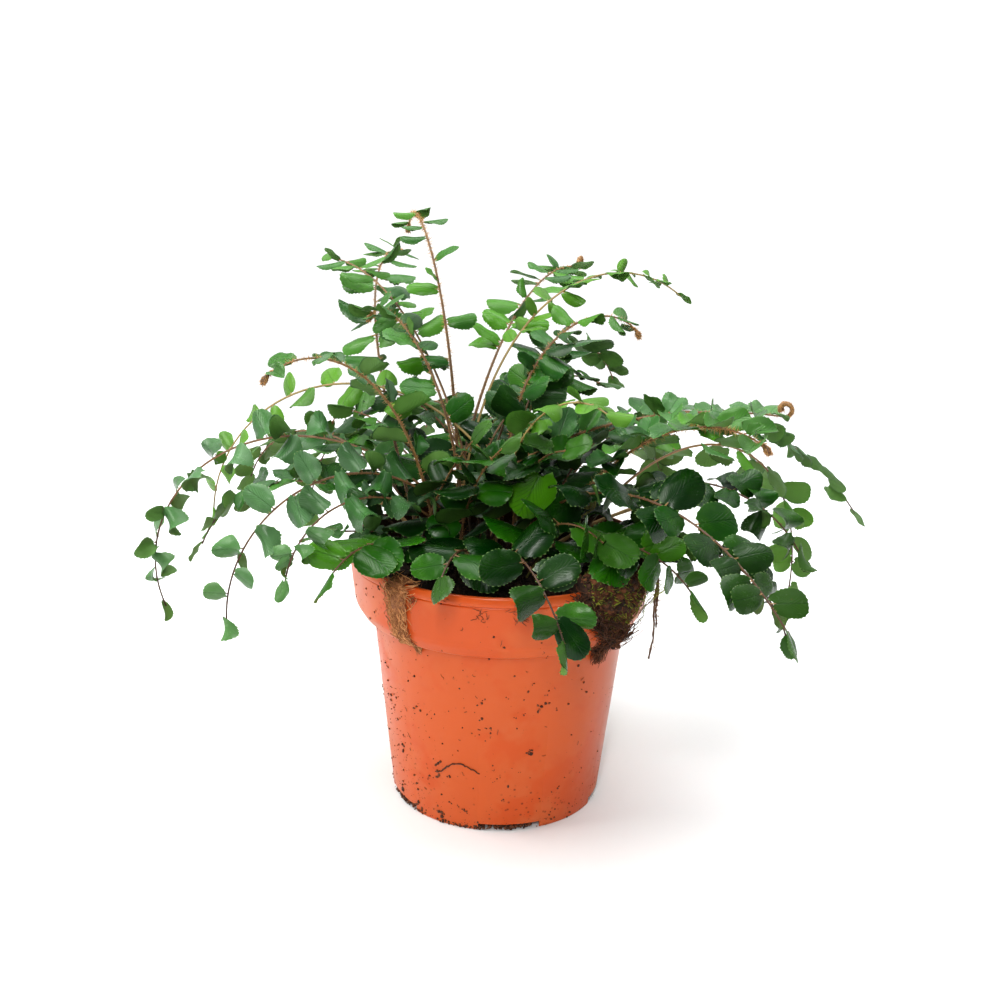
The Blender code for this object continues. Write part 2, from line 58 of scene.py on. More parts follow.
Colour = tuple[float, float, float, float]


# The frame's own rules, repeated so that each fine leaflet lies where its solid does.

SOIL_TOP = 94.0
GAP = 0.35
HOLE_DEPTH = 6.0
STALK_SIDES = 3
STALK_RADIUS = 1.05
STALK_TIP_RADIUS = 0.8
ROUTE_STEPS = 48
SEGMENT = 28.0
FEWEST_SEGMENTS = 4
COIL_START = 2.7
COIL_END = 0.9
COIL_TURNS = 1.45
HOOK_TURNS = 0.86  # of a frond's open hook, where a crozier's coil has them all
COIL_STEPS = 34
BUD_LENGTH = 4.5
BLADE = 0.62
BLADE_WIDTH = 0.74
BLADE_DROOP = 0.14
BLADE_CUP = 0.10
OUTLINE = ((0.0, 0.0), (0.22, 0.42), (0.74, 0.48), (1.0, 0.0), (0.74, -0.48), (0.22, -0.42))
BLADE_FACES = ((0, 1, 5), (1, 2, 5), (2, 4, 5), (2, 3, 4))
TILTS = (0, 12, -12, 24, -24, 38, -38, 55, -55)
SIZES = (1.0, 0.86, 0.72)
SWEEPS = (0, 18, -18)
TWISTS = (0, 25, -25)
TURNS = (0, 2, -2, 4, -4, 6, -6, 9, -9, 12, -12, 16, -16)
LIFTS = (0, 3, -3, 6, -6, 10, -10)
ON_SOLID = 0.03  # how near a repeated corner lies to the frame's mesh, mm
SURE_ROUTE = 0.9  # share of a stalk's corners on the solid that ends the search
FEWEST_CORNERS = 0.4  # share below which no route is taken
FEWEST_RIM = 0.6  # the same for a leaflet's own corners

SHARP_GROWTH = 60  # the angle in degrees above which an edge is drawn sharp
SHARP_PLASTIC = 38
DULL_ROOT, PALE_ROOT = (0.22, 0, 0, 0), (0.9, 0, 0, 0)  # leaf data of roots, old stalks and fibres


class Habit(Enum):
    """How a frond's leaflets are bent, besides the arch that they have in the frame."""

    FLAT = "flat"
    FOLDED = "folded"
    SADDLE = "saddle"


@dataclass(frozen=True)
class PlacedLeaf:
    """A leaflet that the photograph shows plainly: where on the arch, how it lies, and its shape."""

    share: float
    away: tuple[float, float, float]  # from the arch to the end of its own stalk, mm
    rib: tuple[float, float, float]
    facing: tuple[float, float, float]
    length: float
    width: float
    notch: float
    taper: float
    tint: float


HEART_LEAF = PlacedLeaf(
    0.66, (4.2, -1.5, 0.6), (-0.44, -0.30, -0.84), (0.10, -0.90, 0.42), 18.5, 1.04, 0.13, -0.26, 0.9
)
RIM_LEAF = PlacedLeaf(
    0.88, (0.8, -1.2, 0.0), (0.60, -0.22, -0.77), (0.05, -0.88, 0.46), 17.0, 0.64, 0.03, 0.06, 0.05
)
FRONT_LEAVES = (
    PlacedLeaf(0.62, (0.5, -0.8, 0), (0.92, -0.28, 0.12),
               (0.05, -0.72, 0.66), 14.5, 0.72, 0.04, -0.04, 0.55),
    PlacedLeaf(0.40, (-0.5, -0.8, 0), (-0.86, -0.36, -0.10),
               (-0.12, -0.80, 0.56), 14.0, 0.80, 0.05, 0.02, 0.4),
    PlacedLeaf(0.22, (0.5, -0.8, 0), (0.80, -0.45, -0.12),
               (0.10, -0.78, 0.58), 14.5, 0.84, 0.05, -0.06, 0.3),
)
FRONT_LEFT_LEAVES = (
    PlacedLeaf(0.58, (0.5, -0.8, 0), (0.84, -0.34, -0.14),
               (0.10, -0.76, 0.62), 14.0, 0.76, 0.05, 0.0, 0.45),
    PlacedLeaf(0.34, (0.4, -0.8, 0), (0.72, -0.50, -0.26),
               (0.14, -0.82, 0.52), 14.0, 0.82, 0.05, -0.04, 0.3),
)


@dataclass(frozen=True)
class Frond:
    """One arching frond, as in the part's source, and how it looks."""

    name: str
    root: tuple[float, float]
    heading: float
    swing: float
    rise: float
    fall: float
    bend: float
    length: float
    leaflets: int
    leaf: float
    bare: float
    roll: float = 0.0
    tip: str = "leaf"
    young: bool = False
    face: float = 14.0
    habit: Habit = Habit.FLAT
    slim: float = 1.0  # leaflet width beside the usual one
    small: float = 1.0  # leaflet length beside the frame's
    bristles: float = 1.2  # to each mm of stalk
    bristle: float = 0.9  # longest bristle, mm
    extra: float = 1.0  # chance of a further leaflet beside each of the frame's
    fresh: float = 0.35  # how light a green, from 0 to 1
    painted_sheen: float = 0.0  # how much painted sheen, a bluish-grey lightening that stands in for mirrored light
    placed: tuple[PlacedLeaf, ...] = ()  # leaflets beyond the frame's, each given one by one


FLAT, FOLDED, SADDLE = Habit.FLAT, Habit.FOLDED, Habit.SADDLE
FRONDS = (
    Frond("frond_left_long", (9, 7), 166, 8, 83, -88, 1.14, 198, 13, 14, 0.42, 35, young=True, slim=0.92,
          extra=0.15, fresh=0.85),
    Frond("frond_left_trailing", (-9, -1), 190, -9, 64, -112, 1.38, 194, 13, 17, 0.36, 20, habit=SADDLE,
          extra=0.25, fresh=0.3, painted_sheen=0.9, slim=0.88, small=0.88),
    Frond("frond_left_arched", (-23, -3), 207, 22, 81, -26, 2.34, 134, 9, 18, 0.30, -15, "bud", habit=FOLDED,
          slim=0.86, bristles=3.5, bristle=2.0, fresh=0.45, painted_sheen=0.35, extra=0.4, small=0.92),
    Frond("frond_left_upright", (-13, 4), 160, -45, 83, -31, 2.46, 133, 9, 18, 0.34, 0, "bud", slim=0.86,
          bristles=4, bristle=2.2, fresh=0.5, painted_sheen=0.4, extra=0.5, small=0.92),
    Frond("frond_tall_hairy", (-16, 10), 125, -26, 85, -37, 2.44, 186, 9, 15, 0.42, 10, "bud", slim=0.76,
          bristles=5, bristle=2.5, extra=0.12, fresh=0.6, painted_sheen=0.35, small=0.86),
    Frond("frond_tall_left", (-29, 2), 124, -47, 53, -9, 1.81, 205, 11, 19, 0.45, -15, "bud", slim=0.72,
          bristles=3, bristle=1.9, extra=0.99, fresh=0.6, painted_sheen=0.5),
    Frond("frond_tall_outer", (-6, 9), 133, -5, 73, -5, 1.61, 167, 8, 17, 0.50, slim=0.76, extra=0.99,
          fresh=0.55, painted_sheen=0.5),
    Frond("frond_left_hanging", (-14, -5), 211, 0, 82, -92, 1.05, 150, 13, 17, 0.24, 25, habit=SADDLE,
          extra=0.3, fresh=0.2, painted_sheen=0.75, slim=0.88, small=0.88),
    Frond("frond_left_inner", (-9, -8), 214, 12, 55, -80, 1.82, 114, 9, 18, 0.26, 15, face=26, habit=SADDLE,
          fresh=0.2, painted_sheen=0.7, extra=0.45, slim=0.85, small=0.85),
    Frond("frond_left_low", (-20, -10), 195, 9, 46, -10, 1.2, 58, 5, 16, 0.36, habit=FOLDED, fresh=0.3,
          painted_sheen=0.5, extra=0.5, slim=0.9, small=0.9),
    Frond("frond_left_mid", (-3, 6), 165, -11, 79, -71, 2.04, 118, 9, 17, 0.38, 10, habit=SADDLE, fresh=0.25,
          painted_sheen=0.6, extra=0.45, slim=0.88, small=0.88),
    Frond("frond_right_hairy", (-1, 12), 29, 0, 88, -45, 2.72, 133, 9, 16, 0.42, 10, "bud", slim=0.8,
          bristles=4.5, bristle=2.2, extra=0.99, fresh=0.45, painted_sheen=0.3),
    Frond("frond_right_coiled", (-22, 13), 67, 0, 72, -14, 1.27, 190, 9, 17, 0.48, 0, "coil", slim=0.72,
          bristles=2.6, bristle=1.6, extra=0.99, fresh=0.6, painted_sheen=0.3),
    Frond("frond_right_thin", (-19, 18), 60, -31, 86, -39, 1.78, 184, 10, 13, 0.48, young=True, slim=0.72,
          extra=0.8, fresh=0.9),
    Frond("frond_back_right", (-11, 15), 59, -3, 78, -57, 1.49, 159, 10, 17, 0.42, extra=0.99, painted_sheen=0.5),
    Frond("frond_right_short", (-18, 6), 36, -4, 88, -34, 2.10, 111, 8, 17, 0.42, slim=0.85, painted_sheen=0.4),
    Frond("frond_pale_centre", (-3, -10), -20, -20, 86, -30, 2.6, 102, 7, 17, 0.55, young=True, face=10,
          slim=0.8, bristles=3, bristle=1.2, extra=0.7, fresh=0.95),
    Frond("frond_big_arch", (11, -7), -26, -31, 61, -13, 1.81, 136, 10, 18, 0.40, 0, "bud", habit=FOLDED,
          bristles=7, bristle=2.9, extra=0.6, fresh=0.5, painted_sheen=0.3),
    Frond("frond_right_drooping", (24, -2), 38, 3, 55, -109, 1.15, 215, 13, 19, 0.34, -20, extra=0.55,
          fresh=0.75, painted_sheen=0.2, small=0.94),
    Frond("frond_right_outer", (-6, 15), 36, -19, 72, -54, 0.72, 226, 14, 18, 0.30, extra=0.99, fresh=0.4,
          painted_sheen=0.8, small=0.94, slim=0.92),
    Frond("frond_right_level", (-25, 9), 4, -11, 78, -1, 0.53, 160, 12, 18, 0.26, 0, "coil", habit=FOLDED,
          bristles=2.6, bristle=1.6, fresh=0.45, painted_sheen=0.8, small=0.94, slim=0.92),
    Frond("frond_front_right", (2, -1), -49, -8, 69, -40, 0.81, 172, 12, 22, 0.30, face=30, extra=0.99,
          fresh=-0.06, small=0.9),
    Frond("frond_front_over_rim", (-5, -15), -78, 16, 58, -52, 1.0, 92, 8, 19, 0.22, face=38, extra=0.5,
          fresh=0.02, placed=(RIM_LEAF,)),
    Frond("crozier_right", (10, -13), -10, -2, 62, 35, 1.3, 38, 0, 0, 1.0, 0, "coil", young=True, bristles=7,
          bristle=0.8, fresh=0.9),
    Frond("frond_front_left_upright", (-33, -10), -30, -2, 80, 50, 1.17, 62, 7, 19, 0.24, face=40,
          bristles=2, fresh=0.38, placed=FRONT_LEFT_LEAVES),
    Frond("frond_front_upright", (-17, -18), -51, 3, 86, 40, 1.41, 64, 7, 19, 0.26, face=40, bristles=3,
          bristle=1.2, fresh=0.3, placed=FRONT_LEAVES),
    Frond("frond_heart", (6, -18), -55, 10, 72, -30, 1.5, 62, 7, 24, 0.24, face=44, slim=1.12, fresh=0.4),
    Frond("frond_front_glossy", (18, -14), -48, 14, 58, -48, 1.2, 78, 8, 21, 0.22, face=40, fresh=0.38),
    Frond("frond_front_left_glossy", (-27, -20), -132, 12, 60, -34, 1.2, 66, 7, 20, 0.20, face=40,
          fresh=0.5),
    Frond("frond_front_mid", (-8, -23), -106, 0, 66, -30, 1.2, 56, 7, 20, 0.20, face=40, fresh=0.15),
    Frond("frond_right_mid", (22, 4), -8, -16, 66, -58, 1.2, 118, 8, 19, 0.30, face=24, habit=SADDLE,
          fresh=-0.02),
    Frond("frond_right_low", (24, -9), -24, 12, 50, -72, 1.1, 108, 7, 18, 0.30, face=30, fresh=-0.10),
    Frond("frond_crown_front", (3, -7), -70, 20, 84, 12, 1.8, 72, 9, 21, 0.26, face=42, habit=FOLDED,
          fresh=0.3, placed=(HEART_LEAF,)),
    Frond("frond_crown_left", (-18, 1), 180, -20, 80, 6, 1.8, 78, 9, 18, 0.34, face=26, painted_sheen=0.4),
    Frond("frond_crown_right", (14, 1), 10, 18, 80, -4, 1.8, 82, 9, 18, 0.34, face=24, fresh=0.2, painted_sheen=0.4),
    Frond("frond_crown_back", (0, 19), 86, -20, 80, 2, 1.8, 84, 9, 18, 0.34, painted_sheen=0.5),
    Frond("frond_crown_middle", (-3, 1), 40, 30, 86, 20, 2.0, 88, 9, 18, 0.36, face=-30, fresh=0.45,
          painted_sheen=0.25),
    Frond("frond_back_1", (14, 14), 52, 8, 62, -84, 1.2, 146, 7, 19, 0.30, painted_sheen=0.5),
    Frond("frond_back_2", (8, 22), 74, -6, 64, -60, 1.3, 126, 8, 18, 0.30, painted_sheen=0.3),
    Frond("frond_back_3", (-2, 25), 92, 5, 60, -92, 1.2, 156, 7, 19, 0.28, habit=SADDLE, painted_sheen=0.6),
    Frond("frond_back_4", (-12, 22), 108, -6, 66, -58, 1.4, 122, 8, 18, 0.30, painted_sheen=0.3),
    Frond("frond_back_5", (-20, 23), 126, 7, 58, -88, 1.2, 150, 7, 19, 0.28, habit=SADDLE, painted_sheen=0.6),
    Frond("frond_back_6", (-29, 15), 146, -6, 60, -66, 1.3, 130, 7, 18, 0.30, painted_sheen=0.5),
    Frond("frond_back_left", (-33, 7), 166, 12, 56, -70, 1.2, 112, 7, 17, 0.28, habit=FOLDED, painted_sheen=0.5),
    Frond("crozier_back", (4, 11), 70, 0, 84, 40, 1.6, 74, 0, 0, 1.0, 0, "coil", young=True, bristles=6,
          bristle=0.9, fresh=0.8),
)


@dataclass
class Signal:
    """A shader value, whose arithmetic adds Math nodes to its tree."""

    tree: "ShaderTree"
    socket: bpy.types.NodeSocket | None

    def _math(self, operation: str, first: object, second: object = None) -> "Signal":
        """A Math node of one or two values."""
        inputs = {0: first} if second is None else {0: first, 1: second}
        return self.tree.node("ShaderNodeMath", {"operation": operation}, inputs)

    def __add__(self, other: object) -> "Signal":
        """The sum."""
        return self._math("ADD", self, other)

    __radd__ = __add__

    def __sub__(self, other: object) -> "Signal":
        """The difference."""
        return self._math("SUBTRACT", self, other)

    def __rsub__(self, other: object) -> "Signal":
        """The difference from a number."""
        return self._math("SUBTRACT", other, self)

    def __mul__(self, other: object) -> "Signal":
        """The product, part by part where the other is a vector."""
        if isinstance(other, tuple):
            return self.tree.node("ShaderNodeVectorMath", {"operation": "MULTIPLY"}, {0: self, 1: other})
        return self._math("MULTIPLY", self, other)

    __rmul__ = __mul__

    def __abs__(self) -> "Signal":
        """The size without its sign."""
        return self._math("ABSOLUTE", self)

    def __mod__(self, other: float) -> "Signal":
        """The remainder, never below nought."""
        return self._math("FLOORED_MODULO", self, other)

    def turned(self, other: object) -> "Signal":
        """The angle whose rise is this value and whose run is the other."""
        return self._math("ARCTAN2", self, other)

    def larger(self, other: object) -> "Signal":
        """The larger of the two."""
        return self._math("MAXIMUM", self, other)

    def smooth(self, low: float, high: float) -> "Signal":
        """Nought below low, one above high, and a soft step between."""
        limits = {"Value": self, "From Min": low, "From Max": high}
        return self.tree.node("ShaderNodeMapRange", {"interpolation_type": "SMOOTHSTEP"}, limits)


class ShaderTree:
    """The nodes of a new material, ending in one Principled shader, or of a world."""

    def __init__(self, owner: "bpy.types.Material | bpy.types.World") -> None:
        """Starts with no nodes.

        Args:
            owner: The new material or world.
        """
        owner.use_nodes = True
        self.owner = owner
        self.nodes = owner.node_tree.nodes
        self.links = owner.node_tree.links
        self.nodes.clear()

    def node(
        self, kind: str, settings: dict | None = None, inputs: dict | None = None, output: int = 0
    ) -> Signal:
        """Adds a node.

        Args:
            kind: The node's type.
            settings: Its own settings, made first.
            inputs: A number, colour or Signal for each input by name or place.
            output: Which output is wanted.

        Returns:
            That output.
        """
        made = self.nodes.new(kind)
        for key, value in (settings or {}).items():
            setattr(made, key, value)
        for key, value in (inputs or {}).items():
            if isinstance(value, Signal):
                self.links.new(value.socket, made.inputs[key])
            else:
                made.inputs[key].default_value = value
        return Signal(self, made.outputs[output] if made.outputs else None)

    def place(self) -> Signal:
        """The piece's own coordinates, in metres."""
        return self.node("ShaderNodeTexCoord", output=3)

    def split(self, vector: Signal) -> tuple[Signal, Signal, Signal]:
        """A vector's three parts.

        Args:
            vector: The vector.

        Returns:
            Its x, y and z.
        """
        first = self.node("ShaderNodeSeparateXYZ", {}, {0: vector})
        outputs = first.socket.node.outputs
        return first, Signal(self, outputs[1]), Signal(self, outputs[2])

    def joined(self, x: object, y: object, z: object) -> Signal:
        """A vector of three parts."""
        return self.node("ShaderNodeCombineXYZ", {}, {0: x, 1: y, 2: z})

    def noise(
        self, scale: float, detail: float = 3.0, vector: Signal | None = None, rough: float = 0.55
    ) -> Signal:
        """A cloudy value of about 0.5, with so many cells to the metre."""
        inputs = {"Vector": vector or self.place(), "Scale": scale, "Detail": detail, "Roughness": rough}
        return self.node("ShaderNodeTexNoise", {}, inputs)

    def mix(self, factor: object, first: object, second: object) -> Signal:
        """Two colours mixed."""
        return self.node("ShaderNodeMix", {"data_type": "RGBA"}, {0: factor, 6: first, 7: second}, 2)

    def attribute(self, name: str, output: int = 2) -> Signal:
        """A named attribute of the mesh: its number, or with output 0 its colour and with 3 its alpha."""
        return self.node("ShaderNodeAttribute", {"attribute_name": name}, {}, output)

    def bump(self, height: Signal, distance: float, strength: float = 1.0) -> Signal:
        """A Bump node's normal, for a height of 0 to 1 that stands so many metres proud."""
        inputs = {"Strength": strength, "Distance": distance, "Height": height}
        return self.node("ShaderNodeBump", {}, inputs)

    def finish(self, inputs: dict, through: tuple[object, object] | None = None) -> bpy.types.Material:
        """Closes the tree.

        Args:
            inputs: What the Principled shader's sockets take.
            through: A share and a colour of light that passes through from behind.

        Returns:
            The material.
        """
        shader = self.node("ShaderNodeBsdfPrincipled", {}, inputs)
        if through:
            behind = self.node("ShaderNodeBsdfTranslucent", {}, {"Color": through[1]})
            shader = self.node("ShaderNodeMixShader", {}, {0: through[0], 1: shader, 2: behind})
        self.node("ShaderNodeOutputMaterial", {}, {0: shader})
        return self.owner


@dataclass(frozen=True)
class LeafFinish:
    """Glossy fern leaflets: deep to fresh green above, paler below, with fanned veins, pale teeth, a painted
    bluish-grey sheen and painted shade along the midrib.
    """

    deep: Colour = (0.0010, 0.024, 0.0012, 1)
    middle: Colour = (0.0085, 0.090, 0.0008, 1)
    fresh: Colour = (0.0900, 0.290, 0.0060, 1)
    young: Colour = (0.160, 0.350, 0.0560, 1)
    painted_sheen_colour: Colour = (0.130, 0.275, 0.1200, 1)
    below: Colour = (0.150, 0.290, 0.0650, 1)
    edge: Colour = (0.330, 0.480, 0.1800, 1)
    rust: Colour = (0.160, 0.070, 0.0200, 1)
    through: Colour = (0.150, 0.400, 0.0060, 1)
    veins: float = 6.0  # along the leaflet
    fan: float = 9.0  # how many fork away from the rib
    gloss: float = 0.24
    dull: float = 0.55  # roughness of the underside
    mirror: float = 0.27  # specular level, as the waxy skin mirrors little
    glow: float = 0.15  # how much light passes through a fresh or a young leaflet

    def material(self) -> bpy.types.Material:
        """Builds the nodes.

        Returns:
            The leaflets' material.
        """
        tree = ShaderTree(bpy.data.materials.new("fern_leaflet"))
        tint, youth, under = tree.split(tree.attribute("leaf_data", 0))
        # the leaf data's fourth channel: how much painted sheen a leaflet has
        painted_sheen = tree.attribute("leaf_data", 3)
        along, beside, _ = tree.split(tree.node("ShaderNodeUVMap", {"uv_map": "leaflet"}))
        off_rib = abs(beside - 0.5)
        fan = off_rib.turned(along + 0.12) * self.fan - along * self.veins
        coarse = abs(fan % 1.0 - 0.5) * 2.0
        forked = abs((fan * 2.0) % 1.0 - 0.5) * 2.0
        outer = off_rib.smooth(0.14, 0.26)
        vein = (coarse * (1.0 - outer) + forked * outer).smooth(0.66, 1.0)
        rib = 1.0 - off_rib.smooth(0.004, 0.030)
        rim = tree.attribute("edge").smooth(0.93, 1.0)
        cloud = tree.noise(130.0, 3.0)
        speckle = tree.noise(850.0, 2.0)
        colour = tree.mix(tint.smooth(0.0, 0.6), self.deep, self.middle)
        colour = tree.mix(tint.smooth(0.45, 1.0), colour, self.fresh)
        colour = tree.mix(cloud.smooth(0.40, 0.75) * (tint * 0.34 + 0.06), colour, self.fresh)
        # painted sheen: a bluish-grey lightening that stands in for the bright room mirrored in the leaflets
        colour = tree.mix(painted_sheen * (cloud * 0.5 + 0.5), colour, self.painted_sheen_colour)
        colour = tree.mix(youth, colour, self.young)
        colour = tree.mix(vein * 0.36, colour, self.deep)
        # painted shade: the midrib's crease is darkened on the upper side, where the bump also sinks it
        colour = tree.mix(rib * 0.35 * (1.0 - under), colour, self.deep)
        colour = tree.mix(under * 0.62, colour, self.below)
        colour = tree.mix(under * vein * 0.30, colour, self.middle)
        colour = tree.mix(rim * (1.0 - youth * 0.6) * 0.55, colour, self.edge)
        blotch = tree.noise(210.0, 4.0).smooth(0.73, 0.77) * speckle.smooth(0.45, 0.6)
        colour = tree.mix(blotch * (1.0 - youth) * 0.7, colour, self.rust)
        rough = self.gloss + under * (self.dull - self.gloss) + (speckle - 0.5) * 0.14 + (cloud - 0.5) * 0.16
        height = (1.0 - vein) * 0.7 - rib * 0.7 + speckle * 0.06
        inputs = {
            "Base Color": colour,
            "Roughness": rough,
            "Normal": tree.bump(height, 0.00020, 0.6),
            "Specular IOR Level": self.mirror,
        }
        return tree.finish(inputs, (0.01 + tint * self.glow + youth * self.glow, self.through))


@dataclass(frozen=True)
class StalkFinish:
    """Wiry tan to reddish stalks with a dark line on top, paler and greener where young, and darker near the
    soil, as painted shade and a darker base.
    """

    red: Colour = (0.110, 0.048, 0.022, 1)
    tan: Colour = (0.400, 0.235, 0.095, 1)
    dark: Colour = (0.034, 0.014, 0.007, 1)
    young: Colour = (0.360, 0.340, 0.110, 1)

    def material(self) -> bpy.types.Material:
        """Builds the nodes.

        Returns:
            The stalks' material.
        """
        tree = ShaderTree(bpy.data.materials.new("fern_stalk"))
        tint, youth, _ = tree.split(tree.attribute("leaf_data", 0))
        along, upward, _ = tree.split(tree.node("ShaderNodeUVMap", {"uv_map": "leaflet"}))
        top = upward.smooth(0.62, 0.80)
        streak = tree.noise(1.0, 4.0, tree.joined(along * 60.0, upward * 5.0, tint * 20.0))
        colour = tree.mix((streak * 0.9 + tint * 0.4).smooth(0.35, 0.85), self.red, self.tan)
        colour = tree.mix(youth * 0.9, colour, self.young)
        colour = tree.mix(top * 0.7 * (1.0 - youth * 0.7), colour, self.dark)
        # painted shade, and partly a darker base colour: the stalks darken towards the soil, low in the
        # crown
        deep = (1.0 - tree.split(tree.place())[2].smooth(0.100, 0.135)) * (1.0 - youth)
        colour = tree.mix(deep * 0.85, colour, self.dark)
        rough = 0.40 + streak * 0.2
        return tree.finish({"Base Color": colour, "Roughness": rough, "Normal": tree.bump(streak, 0.0001)})


@dataclass(frozen=True)
class BristleFinish:
    """Golden to rusty bristles and scales."""

    rust: Colour = (0.300, 0.130, 0.045, 1)
    golden: Colour = (0.760, 0.460, 0.180, 1)
    pale: Colour = (0.780, 0.690, 0.380, 1)

    def material(self) -> bpy.types.Material:
        """Builds the nodes.

        Returns:
            The bristles' material.
        """
        tree = ShaderTree(bpy.data.materials.new("fern_bristle"))
        tint, youth, _ = tree.split(tree.attribute("leaf_data", 0))
        along, _, _ = tree.split(tree.node("ShaderNodeUVMap", {"uv_map": "leaflet"}))
        colour = tree.mix((tint * 0.8 + along * 0.4).smooth(0.1, 0.9), self.rust, self.golden)
        colour = tree.mix(youth * 0.75, colour, self.pale)
        return tree.finish({"Base Color": colour, "Roughness": 0.5}, (0.25, self.golden))


@dataclass(frozen=True)
class PotFinish:
    """Glossy orange plastic with a faint dusty film, wiped patches and fine specks of peat, and painted
    shade on the inside of the wall near the top.
    """

    orange: Colour = (0.530, 0.098, 0.019, 1)
    deep: Colour = (0.520, 0.076, 0.009, 1)
    dusty: Colour = (0.530, 0.135, 0.044, 1)
    soil: Colour = (0.060, 0.024, 0.012, 1)
    painted_inner_shade: Colour = (0.030, 0.010, 0.005, 1)

    def material(self) -> bpy.types.Material:
        """Builds the nodes.

        Returns:
            The plastic.
        """
        tree = ShaderTree(bpy.data.materials.new("pot_plastic_orange"))
        place = tree.place()
        x, _, z = tree.split(place)
        radius = tree.node("ShaderNodeVectorMath", {"operation": "LENGTH"}, {0: place * (1.0, 1.0, 0.0)}, 1)
        # painted shade: the upper part of the inner wall, round the peat, is darkened almost to black
        inside = (1.0 - (radius - z * 0.097).smooth(0.0484, 0.0489)) * z.smooth(0.0840, 0.0860)
        fine = tree.noise(240.0, 5.0)
        low = 1.0 - z.smooth(0.002, 0.045)
        left = 1.0 - x.smooth(-0.050, -0.010)
        film = tree.noise(34.0, 5.0, rough=0.62)
        wiped = tree.noise(22.0, 4.0, rough=0.7).smooth(0.50, 0.60)
        dirty = low * 0.12 + left * 0.10
        colour = tree.mix(wiped * 0.75, self.orange, self.deep)
        colour = tree.mix((film + dirty).smooth(0.52, 0.80) * 0.5 * (1.0 - wiped), colour, self.dusty)
        cells = {"Vector": tree.place(), "Scale": 420.0}
        spots = tree.node("ShaderNodeTexVoronoi", {"feature": "F1"}, cells)
        reach = (tree.noise(60.0, 3.0) + dirty).smooth(0.56, 0.78)
        spot = (1.0 - spots.smooth(0.06, 0.30)) * reach
        smear = (tree.noise(120.0, 6.0, rough=0.78) + dirty * 0.5).smooth(0.735, 0.79)
        mark = spot.larger(smear * 0.7)
        colour = tree.mix(mark * 0.80, colour, self.soil)
        colour = tree.mix(inside * (film * 0.5 + 0.65), colour, self.painted_inner_shade)
        rough = 0.30 + (fine - 0.5) * 0.10 + mark * 0.45 + (film + dirty).smooth(0.52, 0.80) * 0.14
        inputs = {
            "Base Color": colour,
            "Roughness": rough,
            "Normal": tree.bump(fine * 0.12 + mark * 0.9 + film * 0.4, 0.00014, 0.6),
            "Specular IOR Level": 0.34,
        }
        return tree.finish(inputs)


@dataclass(frozen=True)
class EarthFinish:
    """Dark peat, or what hangs over the rim, in two tones with a rough skin."""

    name: str
    dark: Colour
    light: Colour
    tone_scale: float = 420.0
    roughness: float = 0.92
    uses_tint: bool = False

    def material(self) -> bpy.types.Material:
        """Builds the nodes.

        Returns:
            The earth.
        """
        tree = ShaderTree(bpy.data.materials.new(self.name))
        tone = tree.noise(self.tone_scale, 5.0, rough=0.7)
        normal = tree.bump(tone, 0.0004, 0.8)
        share = tone.smooth(0.40, 0.70)
        if self.uses_tint:
            tint, _, _ = tree.split(tree.attribute("leaf_data", 0))
            share = tint * 0.8 + share * 0.3
        colour = tree.mix(share, self.dark, self.light)
        return tree.finish({"Base Color": colour, "Roughness": self.roughness, "Normal": normal})


def deselect_all() -> None:
    """Leaves nothing selected, because an operator acts on all that is."""
    if bpy.context.object and bpy.context.object.mode != "OBJECT":
        bpy.ops.object.mode_set(mode="OBJECT")
    bpy.ops.object.select_all(action="DESELECT")


def only(made: bpy.types.Object) -> None:
    """Selects one object and makes it active.

    Args:
        made: The object.
    """
    deselect_all()
    made.select_set(True)
    bpy.context.view_layer.objects.active = made


def apply_modifiers(made: bpy.types.Object) -> None:
    """Applies every modifier of an object.

    Args:
        made: The object.
    """
    only(made)
    for modifier in list(made.modifiers):
        bpy.ops.object.modifier_apply(modifier=modifier.name)


def put_down(made: bpy.types.Object) -> None:
    """Puts the object's place, turn and scale into its mesh."""
    only(made)
    bpy.ops.object.transform_apply(location=True, rotation=True, scale=True)


def rounded(profile: list[tuple[float, float]], radius: float, points: int) -> list[tuple[float, float]]:
    """A profile with its corners cut to arcs.

    Args:
        profile: (radius, height) corners in mm.
        radius: How far from a corner its arc starts, at most.
        points: How many points an arc has.

    Returns:
        The finer profile.
    """
    made = [profile[0]]
    for before, corner, after in zip(profile, profile[1:], profile[2:]):
        first, middle, last = Vector(before), Vector(corner), Vector(after)
        cut = min(radius, (first - middle).length * 0.4, (last - middle).length * 0.4)
        start = middle + (first - middle).normalized() * cut
        end = middle + (last - middle).normalized() * cut
        for step in range(points):
            share = step / (points - 1)
            spot = start * (1 - share) ** 2 + middle * 2 * share * (1 - share) + end * share**2
            made.append((spot.x, spot.y))
    made.append(profile[-1])
    return made


